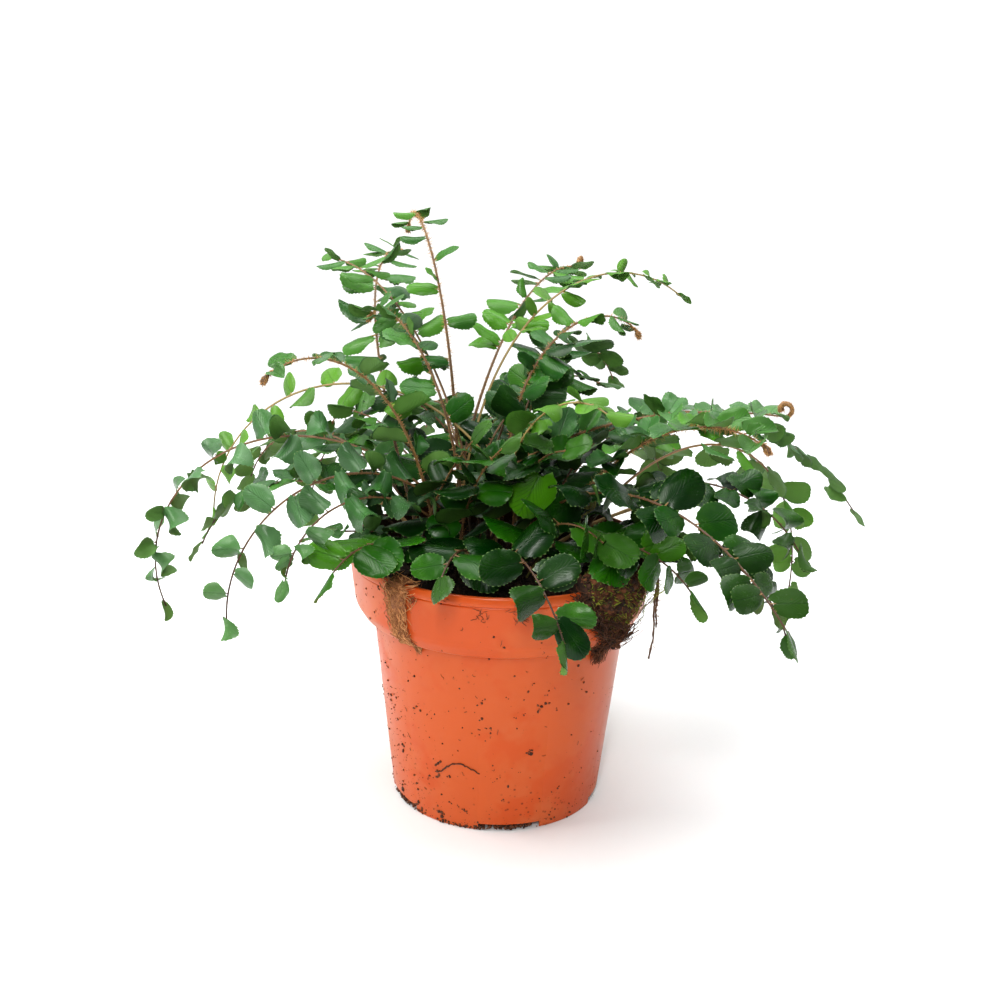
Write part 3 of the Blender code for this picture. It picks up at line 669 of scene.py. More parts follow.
def lathe(name: str, profile: list[tuple[float, float]], steps: int) -> bpy.types.Object:
    """A profile extruded point by point and spun round Z.

    Args:
        name: The object's name.
        profile: (radius, height) points in mm, both ends on the axis.
        steps: How many steps the turn has.

    Returns:
        The closed solid of revolution.
    """
    deselect_all()
    bpy.ops.mesh.primitive_plane_add(size=MM, location=(0, 0, 0))
    made = bpy.context.object
    made.name = name
    bpy.ops.object.mode_set(mode="EDIT")
    bpy.ops.mesh.select_all(action="SELECT")
    bpy.ops.mesh.merge(type="CENTER")
    bpy.ops.transform.translate(value=(profile[0][0] * MM, 0, profile[0][1] * MM))
    for before, after in zip(profile, profile[1:]):
        step = ((after[0] - before[0]) * MM, 0, (after[1] - before[1]) * MM)
        bpy.ops.mesh.extrude_region_move(TRANSFORM_OT_translate={"value": step})
    bpy.ops.mesh.select_all(action="SELECT")
    bpy.ops.mesh.spin(steps=steps, angle=math.tau, center=(0, 0, 0), axis=(0, 0, 1))
    bpy.ops.mesh.select_all(action="SELECT")
    bpy.ops.mesh.remove_doubles(threshold=2e-6)
    bpy.ops.mesh.normals_make_consistent(inside=False)
    bpy.ops.object.mode_set(mode="OBJECT")
    return made


def direction(heading: float, elevation: float) -> Vector:
    """The way that a heading and an elevation point.

    Args:
        heading: Degrees from +X towards +Y.
        elevation: Degrees above the level.

    Returns:
        A vector of length one.
    """
    heading, elevation = math.radians(heading), math.radians(elevation)
    level = math.cos(elevation)
    return Vector((level * math.cos(heading), level * math.sin(heading), math.sin(elevation)))


def within_one(value: float) -> float:
    """A value kept between nought and one."""
    return min(1.0, max(0.0, value))


def unit(vectors: np.ndarray) -> np.ndarray:
    """Vectors of length one, along the last axis."""
    return vectors / np.maximum(np.linalg.norm(vectors, axis=-1, keepdims=True), 1e-12)


def about_axis(radius: np.ndarray, turn: np.ndarray, height: np.ndarray) -> np.ndarray:
    """Places at a radius, an angle in radians and a height."""
    return np.stack([radius * np.cos(turn), radius * np.sin(turn), height], -1)


def lengths_along(points: np.ndarray) -> np.ndarray:
    """How far along a path each of its points is."""
    return np.concatenate(([0], np.cumsum(np.linalg.norm(np.diff(points, axis=0), axis=1))))


def read_at(spots: np.ndarray, reach: np.ndarray, values: np.ndarray) -> np.ndarray:
    """What a path's (n, 3) values are at other lengths along it."""
    return np.stack([np.interp(spots, reach, values[:, axis]) for axis in range(3)], -1)


def curled(
    start: np.ndarray, way: np.ndarray, long: np.ndarray, curl: np.ndarray, shares: tuple | np.ndarray
) -> np.ndarray:
    """Paths that set out along a way and curl off it.

    Args:
        start: (m, 3) where each one starts.
        way: (m, 3) unit vectors along each.
        long: (m,) their lengths.
        curl: (m, 3) how far each one is off its way at the end, beside its length.
        shares: The share of the length at each point.

    Returns:
        (m, k, 3) places.
    """
    places = [start + way * (long * s)[:, None] + curl * (long * s * s)[:, None] for s in shares]
    return np.stack(places, 1)


def ring_quads(first: np.ndarray, around: int) -> np.ndarray:
    """The four-sided faces that join rings of points, each to the next.

    Args:
        first: Each ring's first point, with one axis more for the points round it.
        around: How many points a ring has.

    Returns:
        (n, 4) corners.
    """
    side = np.arange(around)
    beyond = (side + 1) % around
    faces = [first + side, first + beyond, first + around + beyond, first + around + side]
    return np.stack(faces, -1).reshape(-1, 4)


def tinted(
    tint: np.ndarray, youth: float = 0.0, under: np.ndarray | float = 0.0, painted_sheen: float = 0.0
) -> np.ndarray:
    """Each point's leaf data: tint, youth, whether it is the underside, and painted sheen."""
    return np.stack(np.broadcast_arrays(tint, youth, under, painted_sheen), -1)


@dataclass
class Growth:
    """Points and faces in mm that gather into one mesh, with each point's UV, leaf data and edge."""

    points: list = field(default_factory=list)
    faces: list = field(default_factory=list)
    uvs: list = field(default_factory=list)
    data: list = field(default_factory=list)
    edges: list = field(default_factory=list)
    slots: list = field(default_factory=list)
    count: int = 0

    def add(
        self,
        points: np.ndarray,
        faces: list[np.ndarray],
        slot: int,
        uv: np.ndarray | None = None,
        data: np.ndarray | tuple = (0.5, 0.0, 0.0, 0.0),
        edge: np.ndarray | None = None,
    ) -> None:
        """Takes in more points and faces.

        Args:
            points: (n, 3) places.
            faces: Arrays of faces, all of one array with the same number of corners.
            slot: The faces' material slot.
            uv: (n, 2) pattern coordinates.
            data: (n, 4) or one row: tint, youth, whether it is the underside, and painted sheen.
            edge: (n,) one at a leaflet's edge.
        """
        total = len(points)
        self.points.append(points)
        for group in faces:
            self.faces.append(group + self.count)
            self.slots.append(np.full(len(group), slot))
        self.uvs.append(np.zeros((total, 2)) if uv is None else uv)
        self.data.append(np.broadcast_to(np.asarray(data, float), (total, 4)))
        self.edges.append(np.zeros(total) if edge is None else edge)
        self.count += total

    def add_strands(
        self, paths: np.ndarray, radii: np.ndarray, sides: int, beside: np.ndarray, slot: int,
        data: np.ndarray | tuple,
    ) -> None:
        """Takes in closed tapering tubes.

        Args:
            paths: (m, k, 3) places along each.
            radii: (m, k) its radius there.
            sides: How many sides each has.
            beside: (m, 3) a direction across each one.
            slot: Their material slot.
            data: Their leaf data.
        """
        points, faces, uv = strands(paths, radii, sides, beside)
        self.add(points, faces, slot, uv, data)

    def built(self, name: str, materials: list[bpy.types.Material]) -> bpy.types.Object:
        """The mesh as an object in metres.

        Args:
            name: The piece's name.
            materials: What the material slots hold.

        Returns:
            The object.
        """
        mesh = bpy.data.meshes.new(name)
        points = np.concatenate(self.points) * MM
        corners = np.concatenate([group.ravel() for group in self.faces]).astype(np.int32)
        sizes = np.concatenate([np.full(len(group), group.shape[1]) for group in self.faces])
        starts = np.concatenate(([0], np.cumsum(sizes)[:-1])).astype(np.int32)
        mesh.vertices.add(len(points))
        mesh.vertices.foreach_set("co", points.astype(np.float32).ravel())
        mesh.loops.add(len(corners))
        mesh.loops.foreach_set("vertex_index", corners)
        mesh.polygons.add(len(sizes))
        mesh.polygons.foreach_set("loop_start", starts)
        mesh.polygons.foreach_set("material_index", np.concatenate(self.slots).astype(np.int32))
        mesh.update(calc_edges=True)
        layer = mesh.uv_layers.new(name="leaflet")
        layer.data.foreach_set("uv", np.concatenate(self.uvs)[corners].astype(np.float32).ravel())
        data = mesh.attributes.new("leaf_data", "FLOAT_COLOR", "POINT")
        data.data.foreach_set("color", np.concatenate(self.data).astype(np.float32).ravel())
        edge = mesh.attributes.new("edge", "FLOAT", "POINT")
        edge.data.foreach_set("value", np.concatenate(self.edges).astype(np.float32))
        for material in materials:
            mesh.materials.append(material)
        mesh.shade_smooth()
        mesh.set_sharp_from_angle(angle=math.radians(SHARP_GROWTH))
        made = bpy.data.objects.new(name, mesh)
        bpy.context.scene.collection.objects.link(made)
        return made


def strands(
    paths: np.ndarray, radii: np.ndarray, sides: int, beside: np.ndarray
) -> tuple[np.ndarray, list[np.ndarray], np.ndarray]:
    """Closed tapering tubes, all with the same number of points.

    Args:
        paths: (m, k, 3) places along each.
        radii: (m, k) its radius there.
        sides: How many sides each has.
        beside: (m, 3) a direction across each one, which its first side turns away from.

    Returns:
        The points, the faces, and for each point its share along and how far round from its first side.
    """
    many, rings, _ = paths.shape
    ahead = unit(np.gradient(paths, axis=1))
    below = unit(np.cross(beside[:, None, :], ahead))
    across = np.cross(ahead, below)
    angles = math.tau * np.arange(sides) / sides
    spokes = below[:, :, None] * np.cos(angles)[:, None] + across[:, :, None] * np.sin(angles)[:, None]
    points = paths[:, :, None] + spokes * radii[:, :, None, None]
    first = np.arange(many)[:, None, None] * rings * sides
    quads = ring_quads(first + np.arange(rings - 1)[None, :, None] * sides, sides)
    start = (first[:, :, 0] + np.arange(sides)[::-1]).reshape(-1, sides)
    end = (first[:, :, 0] + (rings - 1) * sides + np.arange(sides)).reshape(-1, sides)
    along = np.broadcast_to(np.linspace(0, 1, rings)[None, :, None], (many, rings, sides))
    upward = np.broadcast_to(1 - abs(angles / math.pi - 1), (many, rings, sides))
    return points.reshape(-1, 3), [quads, start, end], np.stack([along, upward], -1).reshape(-1, 2)


def spikes(
    roots: np.ndarray, ways: np.ndarray, base: np.ndarray, across: np.ndarray
) -> tuple[np.ndarray, list[np.ndarray], np.ndarray]:
    """Straight closed three-sided spikes.

    Args:
        roots: (m, 3) the middle of each base.
        ways: (m, 3) from the base to the tip.
        base: (m,) the base's radius.
        across: (m, 3) a direction that the base is turned by.

    Returns:
        The points, the faces, and for each point its share along and around.
    """
    first = unit(np.cross(ways, across))
    second = unit(np.cross(ways, first))
    angles = math.tau * np.arange(3) / 3
    ring = first[:, None] * np.cos(angles)[:, None] + second[:, None] * np.sin(angles)[:, None]
    corners = roots[:, None] + ring * base[:, None, None]
    points = np.concatenate([corners, (roots + ways)[:, None]], 1).reshape(-1, 3)
    start = np.arange(len(roots))[:, None, None] * 4
    faces = (start + np.array([[0, 1, 3], [1, 2, 3], [2, 0, 3], [2, 1, 0]])).reshape(-1, 3)
    uv = np.tile([[0, 0], [0, 0.5], [0, 0.5], [1, 1]], (len(roots), 1)).astype(float)
    return points, [faces], uv


class Crumbs:
    """Small lumps, modelled once as an icosphere and copied with a shape of their own each."""

    def __init__(self) -> None:
        """Models the lump."""
        deselect_all()
        bpy.ops.mesh.primitive_ico_sphere_add(subdivisions=1, radius=1.0)
        lump = bpy.context.object
        self.points = np.array([vert.co for vert in lump.data.vertices])
        self.faces = np.array([face.vertices for face in lump.data.polygons])
        bpy.data.objects.remove(lump)

    def scatter(self, growth: Growth, places: np.ndarray, sizes: np.ndarray, seed: int) -> None:
        """Copies the lump to many places, none of it below the floor.

        Args:
            growth: What the lumps are added to.
            places: (m, 3) where, in mm.
            sizes: (m,) radii in mm.
            seed: What their shapes are drawn from.
        """
        draw = np.random.default_rng(seed)
        many, corners = len(places), len(self.points)
        stretch = draw.uniform(0.55, 1.25, (many, 1, 3))
        dents = draw.uniform(0.72, 1.15, (many, corners, 1))
        turns = draw.uniform(0, math.tau, many)
        shapes = self.points[None] * stretch * dents * sizes[:, None, None]
        cosine, sine = np.cos(turns)[:, None], np.sin(turns)[:, None]
        x = shapes[..., 0] * cosine - shapes[..., 1] * sine
        y = shapes[..., 0] * sine + shapes[..., 1] * cosine
        points = np.stack([x, y, shapes[..., 2]], -1) + places[:, None]
        points[..., 2] += np.maximum(0, -points[..., 2].min(1, keepdims=True))
        faces = (self.faces[None] + np.arange(many)[:, None, None] * corners).reshape(-1, 3)
        tint = np.repeat(draw.uniform(0, 1, many), corners)
        growth.add(points.reshape(-1, 3), [faces], 0, data=tinted(tint))


class SolidTest:
    """Whether places lie on a node of the frame."""

    def __init__(self, node: str) -> None:
        """Reads the node's mesh.

        Args:
            node: The node's name.
        """
        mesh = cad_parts[node].data
        points = [vert.co / MM for vert in mesh.vertices]
        self.tree = BVHTree.FromPolygons(points, [tuple(face.vertices) for face in mesh.polygons])

    def on_it(self, place: Vector) -> bool:
        """Whether a place is on the node's skin."""
        found = self.tree.find_nearest(place, 1.0)
        return found[3] is not None and found[3] < ON_SOLID

    def share(self, places: list[Vector]) -> float:
        """The share of the places that is on the skin."""
        return sum(self.on_it(place) for place in places) / len(places)


@dataclass
class LeafPlace:
    """Where a leaflet grows and how it lies: its place on the stalk, three unit vectors and its length."""

    place: Vector
    rib: Vector
    across: Vector
    normal: Vector
    length: float
    placed: PlacedLeaf | None = None


class Route:
    """A frond's arch at a given turn and lift, as the part's source draws it."""

    def __init__(self, frond: Frond, turn: float, lift: float) -> None:
        """Draws the arch.

        Args:
            frond: The frond.
            turn: Degrees that its heading is turned by.
            lift: Degrees that its rise is lifted by.
        """
        self.frond = frond
        step = frond.length / ROUTE_STEPS
        self.fine = [Vector((*frond.root, SOIL_TOP))]
        self.ahead = []
        for index in range(ROUTE_STEPS + 1):
            share = index / ROUTE_STEPS
            elevation = frond.rise + lift + (frond.fall - frond.rise - lift) * share**frond.bend
            self.ahead.append(direction(frond.heading + turn + frond.swing * share, elevation))
            if index:
                self.fine.append(self.fine[-1] + (self.ahead[-2] + self.ahead[-1]) / 2 * step)
        segments = max(FEWEST_SEGMENTS, round(frond.length / SEGMENT))
        self.picks = [round(ROUTE_STEPS * k / segments) for k in range(segments + 1)]
        self.arch = [self.fine[k] for k in self.picks]
        self.level = direction(frond.heading + turn + frond.swing, 0)

    def corners(self) -> list[Vector]:
        """The solid stalk's corners above the soil, up to its tip.

        Returns:
            Their places, three to each section.
        """
        points = [self.fine[0] - self.ahead[0] * HOLE_DEPTH] + self.arch
        shares = [0.0] + [k / ROUTE_STEPS for k in self.picks]
        radii = [STALK_RADIUS + (STALK_TIP_RADIUS - STALK_RADIUS) * share for share in shares]
        ahead = (points[1] - points[0]).normalized()
        across = ahead.cross(UP)
        across = (across if across.length > 0.05 else ahead.cross(Vector((0, 1, 0)))).normalized()
        made = []
        for index, point in enumerate(points[:-1]):
            before = points[max(index - 1, 0)]
            turn = ahead.rotation_difference((points[index + 1] - before).normalized())
            ahead, across = turn @ ahead, turn @ across
            for side in range(STALK_SIDES):
                spoke = Matrix.Rotation(math.tau * (side + 0.5) / STALK_SIDES, 3, ahead) @ across
                made.append(point + spoke * radii[index])
        return made

    def at(self, share: float) -> tuple[Vector, Vector, Vector]:
        """The solid's place, its direction ahead and its outward side at a share of the arch.

        Args:
            share: From 0 at its root to 1 at its tip.

        Returns:
            The place and the two unit vectors.
        """
        reach = min(max(share, 0.0), 0.999) * (len(self.arch) - 1)
        index = int(reach)
        first, second = self.arch[index], self.arch[index + 1]
        ahead = (second - first).normalized()
        outward = ahead.cross(UP.cross(self.level)).normalized()
        return first.lerp(second, reach - index), ahead, outward

    def smooth_at(self, share: float) -> Vector:
        """The place on the smooth arch at a share of its length.

        Args:
            share: From 0 at its root to 1 at its tip.

        Returns:
            The place.
        """
        reach = min(max(share, 0.0), 0.999) * ROUTE_STEPS
        index = int(reach)
        return self.fine[index].lerp(self.fine[index + 1], reach - index)

    def coil(self) -> list[Vector]:
        """The crozier's turns beyond the arch.

        Returns:
            Their places, from the arch to the middle of the coil.
        """
        ahead = self.ahead[-1]
        outward = self.level.cross(UP).cross(ahead).normalized()
        outward = outward if outward.z > 0 else -outward
        centre = self.fine[-1] + outward * COIL_START
        turns = HOOK_TURNS if self.frond.leaflets else COIL_TURNS
        points = []
        for index in range(1, COIL_STEPS + 1):
            share = index / COIL_STEPS
            angle = math.tau * turns * share
            radius = COIL_START + (COIL_END - COIL_START) * share * turns / COIL_TURNS
            points.append(centre + (ahead * math.sin(angle) - outward * math.cos(angle)) * radius)
        return points


def lie(place: Vector, ahead: Vector, outward: Vector, side: int, pose: tuple, length: float) -> LeafPlace:
    """The vectors of a leaflet, as the part's source turns it.

    Args:
        place: Its root.
        ahead: The stalk's direction there.
        outward: The stalk's upper side.
        side: 1 or -1.
        pose: Tilt, sweep and twist in degrees.
        length: Its length.

    Returns:
        The leaflet's place.
    """
    tilt, sweep, twist = (math.radians(angle) for angle in pose)
    rib = ahead.cross(outward) * side * math.cos(sweep) + ahead * math.sin(sweep)
    lean = Matrix.Rotation(-side * tilt, 3, ahead)
    rib, normal = lean @ rib, lean @ outward
    normal = Matrix.Rotation(twist, 3, rib) @ normal
    return LeafPlace(place, rib, normal.cross(rib), normal, length)


def blade(leaf: LeafPlace, extra: float = 0.0) -> tuple[list[Vector], list[tuple]]:
    """The frame's plain closed blade of a leaflet, thicker and wider by extra.

    Args:
        leaf: How the leaflet lies.
        extra: How much wider it is all round, mm.

    Returns:
        Its points and faces.
    """
    rim = []
    for along, beside in OUTLINE:
        rise = BLADE_CUP * leaf.length * (4 * beside * beside) - BLADE_DROOP * leaf.length * along * along
        out = Vector((along - 0.45, beside)).normalized() * (extra if along > 0 else 0.0)
        rim.append(
            leaf.place + leaf.rib * (along * leaf.length + out.x)
            + leaf.across * (beside * leaf.length * BLADE_WIDTH + out.y) + leaf.normal * rise
        )
    half = leaf.normal * (BLADE / 2 + extra)
    count = len(rim)
    points = [point + half for point in rim] + [point - half for point in rim]
    faces = list(BLADE_FACES) + [tuple(count + corner for corner in reversed(face)) for face in BLADE_FACES]
    for corner in range(count):
        beside = (corner + 1) % count
        faces += [(beside, corner, count + corner), (beside, count + corner, count + beside)]
    return points, faces


class Room:
    """What is in place already, to find whether a further leaflet has room."""

    def __init__(self) -> None:
        """Starts with nothing in place."""
        self.taken: list[tuple[str, BVHTree]] = []
        self.low = np.zeros((0, 3))
        self.high = np.zeros((0, 3))

    def add(self, shape: tuple, owner: str) -> None:
        """Takes a shape in.

        Args:
            shape: Its points and faces.
            owner: Whose it is.
        """
        points = np.array(shape[0])
        self.taken.append((owner, BVHTree.FromPolygons(*shape)))
        self.low = np.vstack([self.low, points.min(0)])
        self.high = np.vstack([self.high, points.max(0)])

    def free(self, shape: tuple, leave_out: str) -> bool:
        """Whether nothing in place, apart from one owner's, meets the shape.

        Args:
            shape: Its points and faces.
            leave_out: Whose shapes it may meet.

        Returns:
            Whether it has room.
        """
        points = np.array(shape[0])
        near = np.all((self.low <= points.max(0)) & (self.high >= points.min(0)), axis=1)
        tree = BVHTree.FromPolygons(*shape)
        return not any(
            self.taken[index][0] != leave_out and tree.overlap(self.taken[index][1])
            for index in np.flatnonzero(near)
        )


@dataclass
class LeafForm:
    """How one leaflet departs from a flat oval."""

    width: float
    seed: int
    cup: float = BLADE_CUP
    droop: float = BLADE_DROOP
    fold: float = 0.0
    wave: float = 0.02
    waves: float = 1.5
    saddle: float = 0.0
    twist: float = 0.0
    tooth: float = 0.022
    notch: float = 0.05
    taper: float = 0.0
    square: float = 2.35
    tint: float = 0.5
    youth: float = 0.0
    painted_sheen: float = 0.0


class LeafPattern:
    """The flat toothed blade that every leaflet is shaped from, modelled once."""

    ALONG = 7
    ACROSS = 5
    RIM = 1.14
    PETIOLE = 0.055
    HALF_THICKNESS = 0.16

    def __init__(self) -> None:
        """Models a grid with a subdivided rim, and below it an underside that meets it at the rim."""
        deselect_all()
        bpy.ops.mesh.primitive_grid_add(x_subdivisions=self.ALONG, y_subdivisions=self.ACROSS, size=2)
        sheet = bpy.context.object
        bpy.ops.object.mode_set(mode="EDIT")
        bpy.ops.mesh.select_mode(type="EDGE")
        bpy.ops.mesh.select_all(action="SELECT")
        bpy.ops.mesh.region_to_loop()
        bpy.ops.mesh.extrude_region_move()
        bpy.ops.transform.resize(value=(self.RIM, self.RIM, 1))
        bpy.ops.mesh.subdivide(number_cuts=1)
        bpy.ops.mesh.select_all(action="SELECT")
        bpy.ops.mesh.duplicate_move(TRANSFORM_OT_translate={"value": (0, 0, -2)})
        bpy.ops.mesh.flip_normals()
        bpy.ops.mesh.select_all(action="DESELECT")
        bpy.ops.object.mode_set(mode="OBJECT")
        for vert in sheet.data.vertices:
            vert.select = max(abs(vert.co.x), abs(vert.co.y)) > 1 + (self.RIM - 1) / 2
        bpy.ops.object.mode_set(mode="EDIT")
        bpy.ops.mesh.select_mode(type="VERT")
        bpy.ops.transform.resize(value=(1, 1, 0), center_override=(0, 0, -1))
        bpy.ops.mesh.select_all(action="SELECT")
        bpy.ops.mesh.remove_doubles(threshold=0.01)
        bpy.ops.object.mode_set(mode="OBJECT")
        points = np.array([vert.co for vert in sheet.data.vertices])
        # sorted, because the operators' own order of faces varies from run to run
        corners = sorted(tuple(face.vertices) for face in sheet.data.polygons)
        self.faces = [np.array([face for face in corners if len(face) == size]) for size in (4, 5)]
        bpy.data.objects.remove(sheet)
        x, y = points[:, 0] / self.RIM, points[:, 1] / self.RIM
        self.upper = points[:, 2] + 1
        rim = abs(self.upper) < 0.5
        between = np.round((x + 1) * self.ALONG) % 2 + np.round((y + 1) * self.ACROSS) % 2 > 0
        self.tooth = np.where(rim, np.where(between, 1.0, -1.0), 0.0)
        self.edge = np.where(rim, np.where(between, 1.0, 0.93), np.maximum(abs(x), abs(y)))
        self.x = x * np.sqrt(1 - y * y / 2)
        self.y = y * np.sqrt(1 - x * x / 2)

    def shaped(self, leaf: LeafPlace, form: LeafForm) -> tuple[np.ndarray, np.ndarray, np.ndarray]:
        """One leaflet.

        Args:
            leaf: Where and how it lies.
            form: How it is bent.

        Returns:
            Its points in mm, their UVs and their leaf data.
        """
        draw = np.random.default_rng(form.seed)
        reach = np.hypot(self.x, self.y)
        angle = np.arctan2(self.y, self.x)
        bulge = (abs(np.cos(angle)) ** form.square + abs(np.sin(angle)) ** form.square) ** (-1 / form.square)
        phase = draw.uniform(0, math.tau, 4)
        bulge += 0.030 * np.sin(2 * angle + phase[0]) + 0.028 * np.sin(3 * angle + phase[1])
        teeth = form.tooth * self.tooth * draw.uniform(0.4, 1.5, len(reach))
        scale = (1 + (bulge - 1) * reach**2) * (1 + teeth)
        x, y = self.x * scale, self.y * scale
        y = y * (1 + form.taper * x)
        along = self.PETIOLE + (1 - self.PETIOLE) * (0.5 + 0.5 * x)
        along = along - form.notch * (1 - 1.8 * np.exp(-((y / 0.22) ** 2))) * np.maximum(0, -x) ** 3
        beside = 0.5 * y
        rise = form.cup * 4 * beside**2 - form.droop * along**2
        rise += form.fold * (np.sqrt(4 * beside**2 + 0.015) - 0.12)
        swing = np.sin(phase[2] + math.tau * form.waves * along + np.where(beside > 0, phase[3], 0.0))
        rise += form.wave * swing * (2 * abs(beside)) ** 1.6
        rise += form.saddle * ((along - 0.5) ** 2 * 2.4 - 3.2 * beside**2)
        turn = form.twist * (along - 0.35)
        flat = beside * form.width
        beside_of = flat * np.cos(turn) - rise * np.sin(turn)
        up_of = flat * np.sin(turn) + rise * np.cos(turn)
        place, rib, across, normal = (np.array(v) for v in (leaf.place, leaf.rib, leaf.across, leaf.normal))
        points = (
            place
            + rib * (along * leaf.length)[:, None]
            + across * (beside_of * leaf.length)[:, None]
            + normal * (up_of * leaf.length + self.upper * self.HALF_THICKNESS)[:, None]
        )
        under = np.where(self.upper < -0.5, 1.0, 0.0)
        data = tinted(np.full_like(under, form.tint), form.youth, under, form.painted_sheen)
        return points, np.stack([along, beside + 0.5], -1), data


@dataclass
class FinePlant:
    """All fronds: their routes and leaflets found on the frame, and their finer meshes."""

    pattern: LeafPattern
    leaf: bpy.types.Material
    stalk: bpy.types.Material
    bristle: bpy.types.Material
    stalk_sides: int = 7
    thinnest: float = 0.30
    petiole_radii: tuple[float, float, float] = (0.34, 0.24, 0.17)
    bud_radii: tuple[float, ...] = (0.70, 1.05, 1.25, 1.20, 0.9, 0.3)
    bristle_radii: tuple[float, float, float] = (0.15, 0.095, 0.06)  # a scale's, a long and a short one's
    scales: float = 26.0  # to each mm of a bud or coil
    room: Room = field(default_factory=Room)
    kept_clear: Room = field(default_factory=Room)
    leaflets: int = 0

    LEAF, STALK, BRISTLE = 0, 1, 2
    IN_SIGHT = (
        "frond_big_arch", "crozier_right", "frond_left_arched", "frond_left_upright", "frond_tall_hairy",
        "frond_right_hairy",
    )  # whose stalks the photograph shows whole, so no further leaflet hides them
    LOOSER = (
        (0, 0, 1.0), (16, 0, 1.0), (-16, 0, 1.0), (0, 30, 0.95), (32, 0, 0.92), (-32, 0, 0.92),
        (20, 30, 0.85), (-20, 30, 0.85), (50, 0, 0.8), (-50, 0, 0.8), (35, 40, 0.68), (-35, 40, 0.68),
        (75, 10, 0.68), (0, 50, 0.6),
    )  # further tilt and sweep in degrees, and size, tried in turn until a leaflet has room

    def find_route(self, frond: Frond, solid: SolidTest) -> Route:
        """The route among those that the part's source tries whose corners lie on the solid.

        Args:
            frond: The frond.
            solid: Its node's test.

        Returns:
            The route.
        """
        best, found = 0.0, None
        for lift, turn in sorted(itertools.product(LIFTS, TURNS), key=lambda way: abs(way[0]) + abs(way[1])):
            route = Route(frond, turn, lift)
            share = solid.share(route.corners()[STALK_SIDES:])
            if share > best:
                best, found = share, route
            if share > SURE_ROUTE:
                break
        if found is None or best < FEWEST_CORNERS:
            raise RuntimeError(f"no route lies on {frond.name}: {best:.2f}")
        return found

    @staticmethod
    def ways() -> list[tuple]:
        """The ways to bend a leaflet, in the order that the part's source tries them.

        Returns:
            Tilt, size, sweep and twist of each.
        """

        def change(way: tuple) -> float:
            """How much a way changes the leaflet."""
            tilt, size, sweep, twist = way
            return abs(tilt) / 14 + (1 - size) * 12 + abs(sweep) / 18 + abs(twist) / 24

        return sorted(itertools.product(TILTS, SIZES, SWEEPS, TWISTS), key=change)

    @staticmethod
    def plan(frond: Frond) -> list[tuple]:
        """Each leaflet's share of the arch, side, pose and length, drawn as the part's source draws them.

        Args:
            frond: The frond.

        Returns:
            One row for each leaflet.
        """
        draw = random.Random(frond.name)
        plan = []
        for index in range(frond.leaflets):
            share = index / max(frond.leaflets - 1, 1)
            last = index == frond.leaflets - 1 and frond.tip == "leaf"
            place = frond.bare + (0.985 - frond.bare) * share**0.92
            side = 1 if index % 2 else -1
            tilt = frond.roll * side + draw.uniform(-8, 26)
            sweep = 82.0 if last else draw.uniform(8, 30)
            twist = draw.uniform(-20, 20) - side * frond.face
            length = frond.leaf * (1 - 0.38 * share**2) * (0.88 + 0.12 * min(1, share / 0.2))
            plan.append((place, side, (tilt, sweep, twist), length * draw.uniform(0.92, 1.06)))
        return plan

    def find_leaves(self, route: Route, solid: SolidTest) -> list[tuple[float, int, LeafPlace]]:
        """The frame's own leaflets on a route.

        Args:
            route: The frond's route.
            solid: Its node's test.

        Returns:
            Share of the arch, side and place of each that is found.
        """
        found = []
        for share, side, pose, length in self.plan(route.frond):
            place, ahead, outward = route.at(share)
            for tilt, size, sweep, twist in self.ways():
                bent = (pose[0] + tilt, pose[1] + sweep, pose[2] + twist)
                leaf = lie(place, ahead, outward, side, bent, length * size)
                points = blade(leaf)[0]
                if solid.on_it(points[3]) and solid.share(points[1:6] + points[7:12]) > FEWEST_RIM:
                    found.append((share, side, leaf))
                    break
        return found

    def further_leaves(self, route: Route) -> list[tuple]:
        """Leaflets between and below the frame's own, wherever there is room for one.

        Args:
            route: The frond's route.

        Returns:
            Share of the arch, side and place of each.
        """
        frond = route.frond
        draw = random.Random(frond.name + " further")
        made = []
        spot = frond.bare * (0.45 if frond.extra >= 1 else 0.95)
        side = 1
        while spot < 0.93 and frond.leaflets:
            spot += frond.leaf * 0.34 / frond.length * draw.uniform(0.7, 1.3)
            side = -side
            place, ahead, outward = route.at(spot)
            tilt = -frond.roll * side + draw.uniform(-8, 30)
            sweep = draw.uniform(4, 34)
            twist = draw.uniform(-20, 20) - side * frond.face
            ratio = max(0.0, (spot - frond.bare) / (1 - frond.bare))
            length = frond.leaf * (1 - 0.42 * ratio**2) * draw.uniform(0.78, 1.0)
            if draw.random() > frond.extra:
                continue
            for lean, turn, size in self.LOOSER:
                pose = (tilt + lean, sweep + turn, twist - turn)
                other = lie(place, ahead, outward, side, pose, length * size)
                if self.room.free(blade(other, GAP * 0.4), frond.name):
                    made.append((spot, side, other))
                    self.room.add(blade(other), frond.name + " leaflet")
                    break
        return made

    @staticmethod
    def shade(place: Vector) -> float:
        """How deep in the crown a place is, from 0 to 1; there the leaflets are darker, partly painted shade
        and partly their age.
        """
        out = math.hypot(place.x, place.y) / 75
        return max(0.0, 1 - out) * max(0.0, min(1.0, 1.6 - (place.z - SOIL_TOP) / 70))

    @staticmethod
    def placed_leaves(route: Route) -> list[tuple[float, int, LeafPlace]]:
        """A frond's leaflets that are listed one by one.

        Args:
            route: The frond's route.

        Returns:
            Share of the arch, side and place of each.
        """
        made = []
        for placed in route.frond.placed:
            rib = Vector(placed.rib).normalized()
            across = Vector(placed.facing).cross(rib).normalized()
            place = route.smooth_at(placed.share) + Vector(placed.away)
            leaf = LeafPlace(place, rib, across, rib.cross(across), placed.length, placed)
            made.append((placed.share, 1, leaf))
        return made

